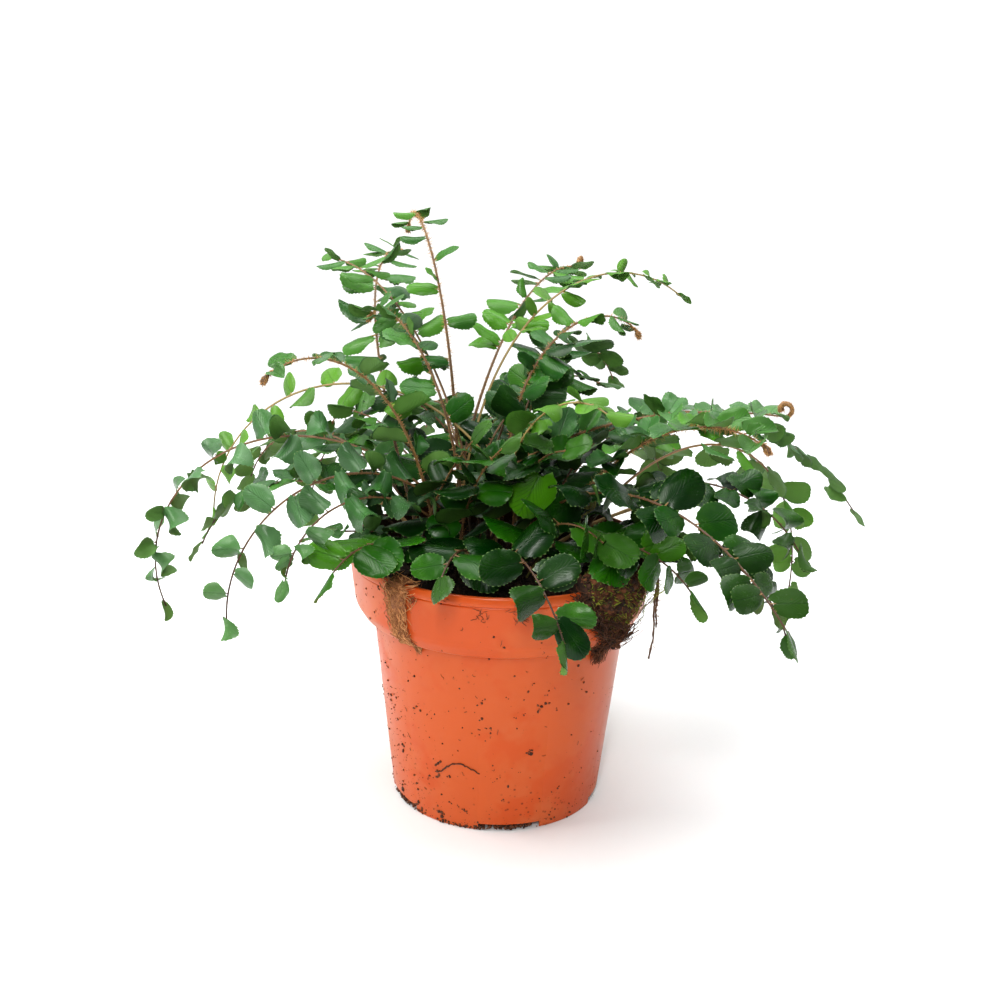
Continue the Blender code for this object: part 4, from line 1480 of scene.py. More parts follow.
    def form(self, frond: Frond, share: float, leaf: LeafPlace, draw: random.Random) -> LeafForm:
        """How a leaflet of a frond is bent and coloured.

        Args:
            frond: The frond.
            share: How far along its leafy part the leaflet is.
            leaf: How the leaflet lies.
            draw: What its form is drawn from.

        Returns:
            Its form.
        """
        # painted shade, and partly age: deep in the crown the tint is lowered and the painted sheen taken
        # away
        deep = self.shade(leaf.place + leaf.rib * leaf.length / 2)
        fold = 0.0
        saddle = draw.uniform(-0.05, 0.10)
        wave = draw.uniform(0.012, 0.045)
        twist = draw.uniform(-0.3, 0.3)
        if frond.habit is Habit.FOLDED:
            fold, wave = draw.uniform(0.08, 0.42), draw.uniform(0.02, 0.06)
        elif frond.habit is Habit.SADDLE:
            saddle, wave = draw.uniform(0.06, 0.40), draw.uniform(0.02, 0.06)
            twist = draw.uniform(-0.7, 0.7)
        youth = 0.60 * frond.young + 0.30 * share**4
        placed = leaf.placed
        if placed:
            seed = draw.randrange(10**6)
            return LeafForm(placed.width, seed, cup=-0.20, fold=0.12, wave=0.03, waves=1.1, square=2.1,
                            notch=placed.notch, taper=placed.taper, tint=placed.tint)
        heart = frond.name == "frond_heart"
        return LeafForm(
            width=BLADE_WIDTH * frond.slim * draw.uniform(0.94, 1.12),
            seed=draw.randrange(10**6),
            cup=BLADE_CUP + draw.uniform(-0.34, -0.07),
            droop=BLADE_DROOP + draw.uniform(-0.05, 0.08),
            fold=fold,
            wave=wave,
            waves=draw.uniform(0.9, 2.3),
            saddle=saddle,
            twist=twist,
            tooth=0.010 if frond.young else draw.uniform(0.022, 0.036),
            notch=0.15 if heart else draw.uniform(0.03, 0.09),
            taper=-0.16 if heart else draw.uniform(-0.10, 0.08),
            square=draw.uniform(1.95, 2.35),
            tint=within_one(frond.fresh + draw.uniform(-0.30, 0.42) - 0.50 * deep),
            youth=within_one(youth * draw.uniform(0.6, 1.2)),
            painted_sheen=within_one(frond.painted_sheen * (0.5 + 0.5 * share) + draw.uniform(-0.15, 0.25) * (frond.painted_sheen > 0))
            * (1 - deep),
        )

    def add_leaves(self, growth: Growth, route: Route, leaves: list[tuple[float, int, LeafPlace]]) -> None:
        """Adds a frond's fine leaflets and their short stalks.

        Args:
            growth: The frond's mesh.
            route: Its route.
            leaves: Share of the arch, side and place of each.
        """
        frond = route.frond
        draw = random.Random(frond.name + " leaves")
        paths, beside = [], []
        for share, _, leaf in leaves:
            on_arch = route.smooth_at(share)
            if not leaf.placed:
                leaf.place = on_arch
                leaf.length *= frond.small
            form = self.form(frond, max(0.0, share - frond.bare) / (1.01 - frond.bare), leaf, draw)
            points, uv, data = self.pattern.shaped(leaf, form)
            growth.add(points, self.pattern.faces, self.LEAF, uv, data, self.pattern.edge)
            joint = leaf.place + leaf.rib * leaf.length * (LeafPattern.PETIOLE + form.notch * 0.8 + 0.03)
            paths.append([on_arch, on_arch.lerp(joint, 0.5), joint])
            beside.append(leaf.across)
        if paths:
            radii = np.tile(self.petiole_radii, (len(paths), 1))
            points, faces, uv = strands(np.array(paths), radii, 4, np.array(beside))
            growth.add(points, faces, self.STALK, uv * [1, 0.5], (0.7, 0.4 * frond.young, 0.0, 0.0))
        self.leaflets += len(leaves)

    def line(self, route: Route) -> tuple[np.ndarray, np.ndarray]:
        """The whole stalk's places and radii, from in the soil to its tip.

        Args:
            route: The frond's route.

        Returns:
            (n, 3) places and (n,) radii.
        """
        frond = route.frond
        points = [route.fine[0] - route.ahead[0] * HOLE_DEPTH] + route.fine
        share = np.linspace(0, 1, len(points))
        thick = 0.66 if frond.length > 120 else 0.56
        thick *= 1.22 if frond.bristle > 1.5 else 1.0
        radii = thick + (self.thinnest - thick) * share**0.8
        if frond.tip == "coil":
            coil = route.coil()
            points += coil
            turn = np.linspace(0, 1, len(coil))
            swell = 0.30 + 0.55 * turn if frond.leaflets else 0.55 * np.minimum(1, turn * 4) - 0.25 * turn
            radii = np.append(radii, self.thinnest + swell)
            radii[-2:] *= (0.8, 0.35)
        elif frond.tip == "bud":
            ahead, down = route.ahead[-1], Vector((0, 0, -0.9))
            steps = len(self.bud_radii)
            for step in range(1, steps + 1):
                points.append(points[-1] + (ahead + down * (step / steps)).normalized() * BUD_LENGTH / steps)
            radii = np.append(radii, self.bud_radii)
        return np.array(points), radii

    def add_stalk(self, growth: Growth, route: Route) -> None:
        """Adds a frond's stalk with its bristles.

        Args:
            growth: The frond's mesh.
            route: Its route.
        """
        frond = route.frond
        points, radii = self.line(route)
        beside = np.array(UP.cross(route.level))
        data = (frond.fresh, 0.45 * frond.young if frond.leaflets else 1.0, 0.0, 0.0)
        growth.add_strands(points[None], radii[None], self.stalk_sides, beside[None], self.STALK, data)
        self.add_bristles(growth, frond, points, radii)

    def add_bristles(self, growth: Growth, frond: Frond, points: np.ndarray, radii: np.ndarray) -> None:
        """Adds bristles all round a stalk, and close scales round its bud or coil.

        Args:
            growth: The frond's mesh.
            frond: The frond.
            points: The stalk's places.
            radii: Its radii.
        """
        draw = np.random.default_rng(sum(map(ord, frond.name)))
        reach = lengths_along(points)
        woolly = {"bud": BUD_LENGTH * 1.5, "coil": reach[-1] - reach[-COIL_STEPS]}.get(frond.tip, 0.0)
        count = int(frond.bristles * (reach[-1] - HOLE_DEPTH))
        along = draw.uniform(0, 1, count) ** (0.8 if frond.bristles > 3 else 1.0)
        spot = HOLE_DEPTH + 2 + along * (reach[-1] - HOLE_DEPTH - 2.2)
        close = self.scales if frond.leaflets else self.scales * 0.3
        tip = reach[-1] - 0.2 - draw.uniform(0, 1, int(woolly * close)) * woolly
        spot = np.concatenate([spot, tip])
        many = len(spot)
        scale = np.arange(many) >= count
        place = read_at(spot, reach, points)
        ahead = unit(read_at(spot, reach, np.gradient(points, axis=0)))
        spoke = unit(np.cross(ahead, draw.normal(size=(many, 3))))
        lean = np.where(scale, draw.uniform(0.6, 2.6, many), draw.uniform(-0.25, 0.6, many))
        way = unit(spoke + ahead * lean[:, None] + draw.normal(size=(many, 3)) * 0.18)
        wool = draw.uniform(0.5, 0.7 + 0.45 * frond.bristle, many) * (1.0 if frond.leaflets else 0.6)
        long = np.where(scale, wool, frond.bristle * draw.uniform(0.35, 1.0, many))
        flat, stout, fine = self.bristle_radii
        base = np.where(scale, flat, stout if frond.bristle > 1.3 else fine)
        root = place + spoke * (np.interp(spot, reach, radii) * 0.75)[:, None]
        cone, faces, uv = spikes(root, way * long[:, None], base, draw.normal(size=(many, 3)))
        tint = np.repeat(draw.uniform(0.25, 1, many) * np.where(scale, 0.75, 1.0), 4)
        youth = 0.8 * frond.young if frond.leaflets else 1.0
        growth.add(cone, faces, self.BRISTLE, uv, tinted(tint, youth))

    @staticmethod
    def sight(route: Route) -> tuple[list[Vector], list[tuple]]:
        """The sheet between the camera and a stalk, which leaflets of other fronds keep out of.

        Args:
            route: The stalk's route.

        Returns:
            The sheet's points and faces.
        """
        stalk = route.fine + (route.coil() if route.frond.tip == "coil" else [])
        return [Vector(Studio.eye)] + stalk, [(0, index, index + 1) for index in range(1, len(stalk))]

    def turned_aside(self, route: Route, share: float, side: int, leaf: LeafPlace) -> LeafPlace:
        """One of the frame's leaflets, laid another way if it hides the young crozier.

        Args:
            route: Its frond's route.
            share: Its share of the arch.
            side: 1 or -1.
            leaf: How it lies in the frame.

        Returns:
            How it lies.
        """
        if self.kept_clear.free(blade(leaf), route.frond.name):
            return leaf
        place, ahead, outward = route.at(share)
        for lean, turn, size in self.LOOSER:
            pose = (lean + 10, turn + 15, -turn - side * route.frond.face)
            other = lie(place, ahead, outward, side, pose, leaf.length * size)
            if self.kept_clear.free(blade(other), route.frond.name):
                return other
        return leaf

    def build(self) -> None:
        """Builds and dresses every frond."""
        found = []
        for frond in FRONDS:
            solid = SolidTest(frond.name)
            route = self.find_route(frond, solid)
            found.append((route, self.find_leaves(route, solid)))
        for name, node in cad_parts.items():
            points = [vert.co / MM for vert in node.data.vertices]
            self.room.add((points, [tuple(face.vertices) for face in node.data.polygons]), name)
        for route, _ in found:
            if route.frond.name == "crozier_right":
                self.kept_clear.add(self.sight(route), route.frond.name)
        for route, leaves in found:
            for index, (share, side, leaf) in enumerate(leaves):
                leaves[index] = share, side, self.turned_aside(route, share, side, leaf)
                self.room.add(blade(leaves[index][2]), route.frond.name + " leaflet")
            if route.frond.name in self.IN_SIGHT:
                self.room.add(self.sight(route), route.frond.name)
        for route, leaves in found:
            further = self.further_leaves(route) + self.placed_leaves(route)
            growth = Growth()
            self.add_leaves(growth, route, leaves + further)
            self.add_stalk(growth, route)
            name = route.frond.name
            made = growth.built(name + "_grown", [self.leaf, self.stalk, self.bristle])
            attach(made, "root")
            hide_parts(name)
            solid = route.frond.leaflets
            log.info("%s: %d of %d leaflets and %d further", name, len(leaves), solid, len(further))
        log.info("%d leaflets in all", self.leaflets)


@dataclass
class Pot:
    """The turned pot: rolled lip, stepped collar, tapering wall, notched foot with drain holes."""

    finish: PotFinish
    rim_radius: float = 60.0
    height: float = 103.0
    foot_radius: float = 41.6
    wall: float = 1.2
    step_height: float = 76.8
    step_radius: float = 50.0
    collar_radius: float = 57.2
    floor_height: float = 3.6
    pad_radius: float = 15.0
    notches: int = 5
    notch_width: float = 24.0
    notch_height: float = 2.8
    notch_heading: float = -82.0
    drain_radius: float = 4.0
    drain_circle: float = 31.0
    steps: int = 144
    specks: int = 6500  # tried, of which the wall's clean parts keep few
    foot_specks: int = 64
    notch_specks: tuple[int, int, int] = (50, 60, 40)

    def profile(self) -> list[tuple[float, float]]:
        """The wall's section, with rounded corners.

        Returns:
            (radius, height) points in mm, from the middle of the base round to the inside.
        """
        corners = [
            (0, 0),
            (self.pad_radius, 0),
            (self.pad_radius + 1.2, self.floor_height),
            (self.foot_radius - 1.5, self.floor_height),
            (self.foot_radius - 1.4, 0),
            (self.foot_radius, 0),
            (self.step_radius, self.step_height),
            (self.step_radius + 4.4, self.step_height + 0.9),
            (self.step_radius + 5.2, self.step_height + 2.2),
            (self.collar_radius, self.step_height + 5.4),
            (self.rim_radius - 1.0, self.height - 4.6),
            (self.rim_radius - 1.3, self.height - 4.0),
            (self.rim_radius - 0.1, self.height - 3.6),
            (self.rim_radius, self.height - 2.6),
            (self.rim_radius - 0.3, self.height),
            (self.rim_radius - 2.2, self.height),
            (self.collar_radius - self.wall, self.step_height + 6.4),
            (self.collar_radius - self.wall - 1.2, self.step_height + 4.2),
            (self.step_radius - self.wall + 0.2, self.step_height + 1.6),
            (self.foot_radius - self.wall + 0.4, self.floor_height + self.wall),
            (self.pad_radius + 2.2, self.floor_height + self.wall),
            (self.pad_radius + 0.8, self.wall),
            (0, self.wall),
        ]
        return rounded(corners, 1.6, 4)

    def wall_radius(self, height: np.ndarray) -> np.ndarray:
        """The pot's outer radius at a height.

        Args:
            height: Heights in mm.

        Returns:
            Radii in mm.
        """
        heights = (0, self.step_height, self.step_height + 1.4, self.step_height + 5.4, self.height - 4.2,
                   self.height - 3.2, self.height)
        radii = (self.foot_radius, self.step_radius, self.step_radius + 4.4, self.collar_radius,
                 self.rim_radius - 1.0, self.rim_radius, self.rim_radius - 0.3)
        return np.interp(height, heights, radii)

    def cut(self, made: bpy.types.Object, cutters: list[bpy.types.Object]) -> None:
        """Cuts the notches and drain holes, and removes their cutters.

        Args:
            made: The pot.
            cutters: What is cut out of it.
        """
        group = bpy.data.collections.new("pot_cutters")
        bpy.context.scene.collection.children.link(group)
        for cutter in cutters:
            put_down(cutter)
            for home in list(cutter.users_collection):
                home.objects.unlink(cutter)
            group.objects.link(cutter)
        trim = made.modifiers.new("openings", "BOOLEAN")
        trim.operation = "DIFFERENCE"
        trim.operand_type = "COLLECTION"
        trim.collection = group
        trim.solver = "EXACT"
        apply_modifiers(made)
        for cutter in cutters:
            bpy.data.objects.remove(cutter)
        bpy.data.collections.remove(group)

    def build(self) -> bpy.types.Object:
        """Turns and cuts the pot.

        Returns:
            The pot.
        """
        made = lathe("pot_moulded", self.profile(), self.steps)
        cutters = []
        for index in range(self.notches):
            heading = self.notch_heading + index * 360 / self.notches
            spot = direction(heading, 0) * 41.0 * MM
            deselect_all()
            middle = (spot.x, spot.y, (self.notch_height - 1) / 2 * MM)
            turn = (0, 0, math.radians(heading))
            bpy.ops.mesh.primitive_cube_add(size=1.0, location=middle, rotation=turn)
            cutter = bpy.context.object
            cutter.scale = (10 * MM, self.notch_width * MM, (self.notch_height + 1) * MM)
            cutters.append(cutter)
            spot = direction(heading + 180 / self.notches, 0) * self.drain_circle * MM
            deselect_all()
            middle = (spot.x, spot.y, 4.5 * MM)
            radius = self.drain_radius * MM
            bpy.ops.mesh.primitive_cylinder_add(vertices=32, radius=radius, depth=8 * MM, location=middle)
            cutters.append(bpy.context.object)
        self.cut(made, cutters)
        made.data.shade_smooth()
        made.data.set_sharp_from_angle(angle=math.radians(SHARP_PLASTIC))
        made.data.materials.clear()
        made.data.materials.append(self.finish.material())
        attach(made, "root")
        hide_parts("pot")
        return made

    def on_wall(self, heading: np.ndarray, height: np.ndarray, proud: float) -> np.ndarray:
        """Places at so many degrees and mm on the outside of the wall, and so far off it."""
        return about_axis(self.wall_radius(height) + proud, np.radians(heading), height)

    def build_dirt(self, crumbs: Crumbs, material: bpy.types.Material) -> bpy.types.Object:
        """Peat that clings to the outside of the pot, most of it low down and on the left.

        Args:
            crumbs: The lumps to copy.
            material: Their material.

        Returns:
            The dirt.
        """
        draw = np.random.default_rng(7)
        growth = Growth()
        count = self.specks
        heading = draw.uniform(-180, 180, count)
        height = self.height * draw.uniform(0, 1, count) ** 1.3 * 0.97
        left = np.exp(-(((heading + 150) / 30) ** 2))
        low = np.exp(-((height / 12) ** 2))
        spots = self.on_wall(heading, height, 0.0)
        patch = np.array([noise.noise(Vector(spot) * 0.055) for spot in spots])
        wanted = 0.03 + 0.20 * left + 0.20 * low + 0.9 * np.maximum(patch - 0.12, 0)
        keep = draw.uniform(0, 1, count) < wanted
        sizes = 0.13 + 0.50 * draw.uniform(0, 1, count) ** 5
        crumbs.scatter(growth, self.on_wall(heading[keep], height[keep], 0.02), sizes[keep], 11)
        for around, up, size in DIRT_MARKS:
            many = 1 + size
            spread = 0.34 * size
            arounds = around + draw.normal(size=many) * spread * 1.2
            ups = np.clip(up + draw.normal(size=many) * spread, 0.4, self.height - 1)
            grains = draw.uniform(0.24, 0.34 + 0.17 * size, many)
            crumbs.scatter(growth, self.on_wall(arounds, ups, 0.05), grains, int(up * 10) + size)
        foot = draw.uniform(-152, -93, self.foot_specks)
        sizes = draw.uniform(0.2, 0.62, self.foot_specks) * (1.1 - abs(foot + 112) / 60)
        places = self.on_wall(foot, draw.uniform(0.4, 1.6, self.foot_specks), 0.1)
        crumbs.scatter(growth, places, sizes, 13)
        self.add_smear(growth, crumbs, draw)
        self.add_bits(growth, draw)
        made = growth.built("pot_dirt", [material])
        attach(made, "root")
        return made

    def add_smear(self, growth: Growth, crumbs: Crumbs, draw: np.random.Generator) -> None:
        """A dead rootlet stuck to the wall, and peat in the front notch of the foot.

        Args:
            growth: The dirt's mesh.
            crumbs: The lumps to copy.
            draw: What it is drawn from.
        """
        route = np.array(STUCK_ROOT)
        rings = 28
        steps = np.linspace(0, len(route) - 1, rings)
        heading = np.interp(steps, np.arange(len(route)), route[:, 0]) + draw.normal(size=rings) * 0.16
        height = np.interp(steps, np.arange(len(route)), route[:, 1]) + draw.normal(size=rings) * 0.16
        path = self.on_wall(heading, height, 0.22)
        radii = draw.uniform(0.18, 0.36, rings) * np.linspace(1.2, 0.7, rings)
        growth.add_strands(path[None], radii[None], 5, path[None, 0] * [1, 1, 0], 0, (0.2, 0, 0, 0))
        many = sum(self.notch_specks)
        middle = np.repeat([self.notch_heading + 2, -154.0, -101.0], self.notch_specks)
        heading = middle + draw.normal(size=many) * np.repeat([5.5, 8.0, 3.2], self.notch_specks)
        radius = draw.uniform(39.2, 41.6, many)
        places = about_axis(radius, np.radians(heading), draw.uniform(0.7, 1.6, many))
        crumbs.scatter(growth, places, draw.uniform(0.5, 1.0, many), 17)

    def add_bits(self, growth: Growth, draw: np.random.Generator) -> None:
        """Short fibres in tangles on the collar, and single ones lower down.

        Args:
            growth: The dirt's mesh.
            draw: What they are drawn from.
        """
        paths, radii, beside = [], [], []
        tangles = [tangle for tangle in FIBRE_TANGLES for _ in range(15)]
        singles = [(draw.uniform(-160, -30), draw.uniform(8, 98), 0.4) for _ in range(26)]
        for around, up, spread in tangles + singles:
            heading = around + draw.normal() * spread
            height = up + draw.normal() * spread * 1.1
            turn = draw.uniform(0, math.tau)
            reach = draw.uniform(0.25, 0.75)
            path = []
            for _ in range(5):
                path.append(self.on_wall(np.array(heading), np.array(min(height, self.height - 0.5)), 0.2))
                turn += draw.normal() * 0.6
                heading += math.cos(turn) * reach * 1.05
                height += math.sin(turn) * reach
            paths.append(path)
            radii.append([0.07, 0.11, 0.11, 0.09, 0.04])
            beside.append((path[0][0], path[0][1], 0))
        growth.add_strands(np.array(paths), np.array(radii), 4, np.array(beside), 0, PALE_ROOT)


@dataclass
class GrowingMedium:
    """Dark peat that fills the pot, with a crumbly top."""

    pot: Pot
    dark: Colour = (0.016, 0.009, 0.006, 1)
    light: Colour = (0.075, 0.040, 0.022, 1)
    edge_drop: float = 1.0
    steps: int = 96
    top_rings: int = 30
    lumps: int = 1500
    litter: int = 260

    def build(self, crumbs: Crumbs) -> bpy.types.Object:
        """Turns the filling, roughens its top and adds crumbs.

        Args:
            crumbs: The lumps to copy.

        Returns:
            The filling.
        """
        pot = self.pot
        gap = GAP + pot.wall
        edge = pot.collar_radius - gap - 0.2
        profile = [
            (0, pot.wall + GAP),
            (pot.pad_radius + 0.3, pot.wall + GAP),
            (pot.pad_radius + 1.8, pot.floor_height + gap),
            (pot.foot_radius - gap, pot.floor_height + gap),
            (pot.step_radius - gap - 0.3, pot.step_height + 1.6),
            (pot.collar_radius - gap - 1.7, pot.step_height + 4.9),
            (edge, SOIL_TOP - self.edge_drop),
        ]
        for ring in range(1, self.top_rings):
            out = 1 - ring / self.top_rings
            profile.append((edge * out, SOIL_TOP - self.edge_drop * out + 0.3))
        profile.append((0, SOIL_TOP + 0.3))
        made = lathe("peat_filling", profile, self.steps)
        for vert in made.data.vertices:
            place = vert.co / MM
            if place.z > SOIL_TOP - 2:
                rough = noise.fractal(place * 0.16, 1.0, 2.0, 4) * 1.3 + noise.noise(place * 0.9) * 0.5
                vert.co.z += (rough - 0.4) * MM
        draw = np.random.default_rng(3)
        growth = Growth()
        radius = (edge - 0.8) * np.sqrt(draw.uniform(0, 1, self.lumps))
        angle = draw.uniform(0, math.tau, self.lumps)
        level = SOIL_TOP + draw.uniform(-0.8, 0.7, self.lumps)
        sizes = 0.5 + 1.5 * draw.uniform(0, 1, self.lumps) ** 3
        crumbs.scatter(growth, about_axis(radius, angle, level), sizes, 5)
        self.add_litter(growth, edge, draw)
        material = EarthFinish("peat_crumbs", self.dark, self.light, 500.0).material()
        made.data.materials.clear()
        made.data.materials.append(material)
        made.data.shade_smooth()
        lumps = growth.built("peat_lumps", [material])
        only(made)
        lumps.select_set(True)
        bpy.ops.object.join()
        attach(made, "root")
        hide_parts("growing_medium")
        return made

    def add_litter(self, growth: Growth, edge: float, draw: np.random.Generator) -> None:
        """Loose fibres and rootlets on top of the peat.

        Args:
            growth: The lumps' mesh.
            edge: The filling's radius at its top, mm.
            draw: What they are drawn from.
        """
        count = self.litter
        radius = edge * np.sqrt(draw.uniform(0.2, 0.96, count))
        angle = draw.uniform(0, math.tau, count)
        start = about_axis(radius, angle, np.full(count, SOIL_TOP + 0.7))
        level = [draw.normal(size=count), draw.normal(size=count)]
        way = unit(np.stack([*level, draw.uniform(-0.1, 0.25, count)], -1))
        long = draw.uniform(2, 7, count)
        bend = draw.normal(size=(count, 3)) * 0.25
        paths = curled(start, way, long, bend, np.linspace(0, 1, 5))
        far = np.hypot(paths[..., 0], paths[..., 1])
        pull = np.minimum(1.0, (edge - 0.4) / far)
        paths[..., :2] *= pull[..., None]
        paths[..., 2] = np.maximum(paths[..., 2], SOIL_TOP + 0.3)
        radii = np.tile([0.16, 0.18, 0.16, 0.12, 0.05], (count, 1))
        growth.add_strands(paths, radii, 4, np.tile([0.0, 0.0, 1.0], (count, 1)), 0, PALE_ROOT)


@dataclass(frozen=True)
class Fibres:
    """Many fibres of one kind."""

    count: int
    slot: int  # of their material
    seed: int
    thick: float  # radius, mm
    tints: tuple[float, float] = (0.0, 1.0)  # lowest and highest

    def data(self, draw: np.random.Generator, many: int, corners: int) -> np.ndarray:
        """The leaf data of so many fibres, drawn once for each and given to all of its corners."""
        return tinted(np.repeat(draw.uniform(*self.tints, many), corners))


@dataclass
class RimGrowth:
    """What sits on the peat's edge and hangs over the rim, between two headings."""

    pot: Pot
    start: float
    end: float
    lowest: float
    proud: float
    stations: int = 26
    narrow: float = 0.0  # how much higher its lower edge is at both ends, mm

    def section(self, share: float) -> list[tuple[float, float]]:
        """The body's section at a share from one heading to the other, as the part's source draws it.

        Args:
            share: From 0 at the first heading to 1 at the last.

        Returns:
            (radius, height) corners in mm.
        """
        swell = 0.45 + 0.55 * math.sin(math.pi * (0.12 + 0.76 * share)) ** 0.7
        wave = 0.5 + 0.5 * math.cos(2.3 * math.pi * share + 0.6)
        out = self.proud * swell
        low = self.lowest + (self.pot.height - self.lowest) * 0.55 * (1 - swell) + 5.0 * wave
        low = min(low + self.narrow * abs(share - 0.62) ** 1.2 * 2, self.pot.height - 5)
        rim, top, collar = self.pot.rim_radius, self.pot.height, self.pot.collar_radius
        return [
            (48.0, SOIL_TOP + 0.6),
            (rim - 3.6, SOIL_TOP + 1.0),
            (rim - 2.9, top + GAP),
            (rim + 0.5, top + GAP),
            (rim + 0.4, top - 3.8),
            (collar + 1.4 + (low - 84) * 0.06, low),
            (rim + 0.6 + out, 0.35 * low + 0.65 * top),
            (rim + 0.8 + out * 0.6, top + 0.5 + 0.4 * out),
            (rim - 2.0, top + 0.8 + 0.8 * out),
            (50.0, SOIL_TOP + 3.0 + 0.9 * out),
        ]

    def body(self, name: str, bumps: float) -> bpy.types.Object:
        """The rough body.

        Args:
            name: Its name.
            bumps: How high its lumps are, mm.

        Returns:
            A closed, displaced mesh.
        """
        growth = Growth()
        points, per_ring = [], 0
        for station in range(self.stations):
            share = station / (self.stations - 1)
            heading = self.start + (self.end - self.start) * share
            ring = []
            corners = self.section(share)
            for first, second in zip(corners, corners[1:] + corners[:1]):
                for step in range(4):
                    part = step / 4
                    radius = first[0] + (second[0] - first[0]) * part
                    height = first[1] + (second[1] - first[1]) * part
                    ring.append(direction(heading, 0) * radius + Vector((0, 0, height)))
            per_ring = len(ring)
            centre = sum(ring, Vector()) / per_ring
            for spot in ring:
                rough = noise.fractal(spot * 0.35, 1.0, 2.0, 4) + 0.4 * noise.noise(spot * 1.3)
                outside = math.hypot(spot.x, spot.y) > self.pot.rim_radius or spot.z > self.pot.height + 0.6
                out = (spot - centre).normalized()
                points.append(spot + out * rough * bumps * (1.0 if outside else 0.1))
        quads = ring_quads(np.arange(self.stations - 1)[:, None] * per_ring, per_ring)
        ends = np.arange(per_ring)[None, ::-1], (self.stations - 1) * per_ring + np.arange(per_ring)[None]
        growth.add(np.array(points), [quads, *ends], 0, data=(0.08, 0, 0, 0))
        made = growth.built(name, [])
        only(made)
        bpy.ops.object.mode_set(mode="EDIT")
        bpy.ops.mesh.select_all(action="SELECT")
        bpy.ops.mesh.normals_make_consistent(inside=False)
        bpy.ops.object.mode_set(mode="OBJECT")
        return made

    def skin(self, draw: np.random.Generator, count: int) -> tuple[np.ndarray, np.ndarray]:
        """Places on the outer skin, from over the rim down to its lower edge.

        Args:
            draw: What they are drawn from.
            count: How many.

        Returns:
            The places, and the outward way at each.
        """
        share = draw.uniform(0.02, 0.98, count)
        part = draw.uniform(0, 1, count)
        places, outs = [], []
        for s, p in zip(share, part):
            corners = self.section(s)
            line = [corners[9], corners[8], corners[7], corners[6], corners[5]]
            lengths = [math.dist(a, b) for a, b in zip(line, line[1:])]
            reach = p * sum(lengths)
            for (a, b), length in zip(zip(line, line[1:]), lengths):
                if reach <= length:
                    break
                reach -= length
            part_way = min(reach / length, 1.0)
            radius, height = (a[i] + (b[i] - a[i]) * part_way for i in (0, 1))
            across = (b[1] - a[1], b[0] - a[0])
            out = Vector((-across[0], across[1])).normalized()
            out = out if out.x + out.y > 0 else -out
            level = direction(self.start + (self.end - self.start) * s, 0)
            places.append(level * radius + Vector((0, 0, height)))
            outs.append(level * out.x + Vector((0, 0, out.y)))
        return np.array(places), np.array(outs)

    def hanging(self, growth: Growth, fibres: Fibres, spread: float, drop: float) -> None:
        """Adds fibres that come over the rim and hang down outside the pot.

        Args:
            growth: The clump's mesh.
            fibres: How many, and how they look.
            spread: How far they stand off the pot, mm.
            drop: How far the longest hang below the body, mm.
        """
        draw = np.random.default_rng(fibres.seed)
        count, rings = fibres.count, 12
        paths = np.zeros((count, rings, 3))
        for index in range(count):
            share = draw.uniform(0.0, 1.0)
            heading = math.radians(self.start + (self.end - self.start) * share)
            corners = self.section(share)
            low = corners[5][1]
            end = low + (self.pot.height - low) * draw.uniform(0, 1) ** 1.6 - drop * draw.uniform(0, 1) ** 3
            off = 0.9 + spread * draw.uniform(0, 1) ** 1.5
            begin_over = draw.random() < 0.5
            top = self.pot.height + draw.uniform(0.6, 0.6 + self.proud * 0.6)
            drift = draw.normal() * 0.03
            ripple, turn = draw.normal(size=2) * 0.35, draw.uniform(0, math.tau)
            for ring in range(rings):
                s = ring / (rings - 1)
                if begin_over and s < 0.3:
                    part = s / 0.3
                    radius = self.pot.rim_radius - 6 + (6 + off) * part
                    height = SOIL_TOP + 2.5 + (top - SOIL_TOP - 2.5) * math.sin(part * math.pi / 2)
                else:
                    part = (s - 0.3) / 0.7 if begin_over else s
                    height = top + (end - top) * part
                    radius = float(self.pot.wall_radius(np.array(min(height, self.pot.height)))) + off
                    radius = max(radius, self.pot.collar_radius - 1 + off) if height > 84 else radius + 1.0
                wobble = ripple[0] * math.sin(turn + s * 9) / radius
                around = heading + drift * s + wobble
                radius += 0.3 * ripple[1] * math.sin(turn + s * 7)
                paths[index, ring] = (radius * math.cos(around), radius * math.sin(around), height)
        radii = fibres.thick * draw.uniform(0.6, 1.2, (count, 1)) * np.linspace(1.0, 0.35, rings)[None]
        beside = unit(np.cross(paths[:, 0], [0, 0, 1.0]))
        growth.add_strands(paths, radii, 4, beside, fibres.slot, fibres.data(draw, count, rings * 4))

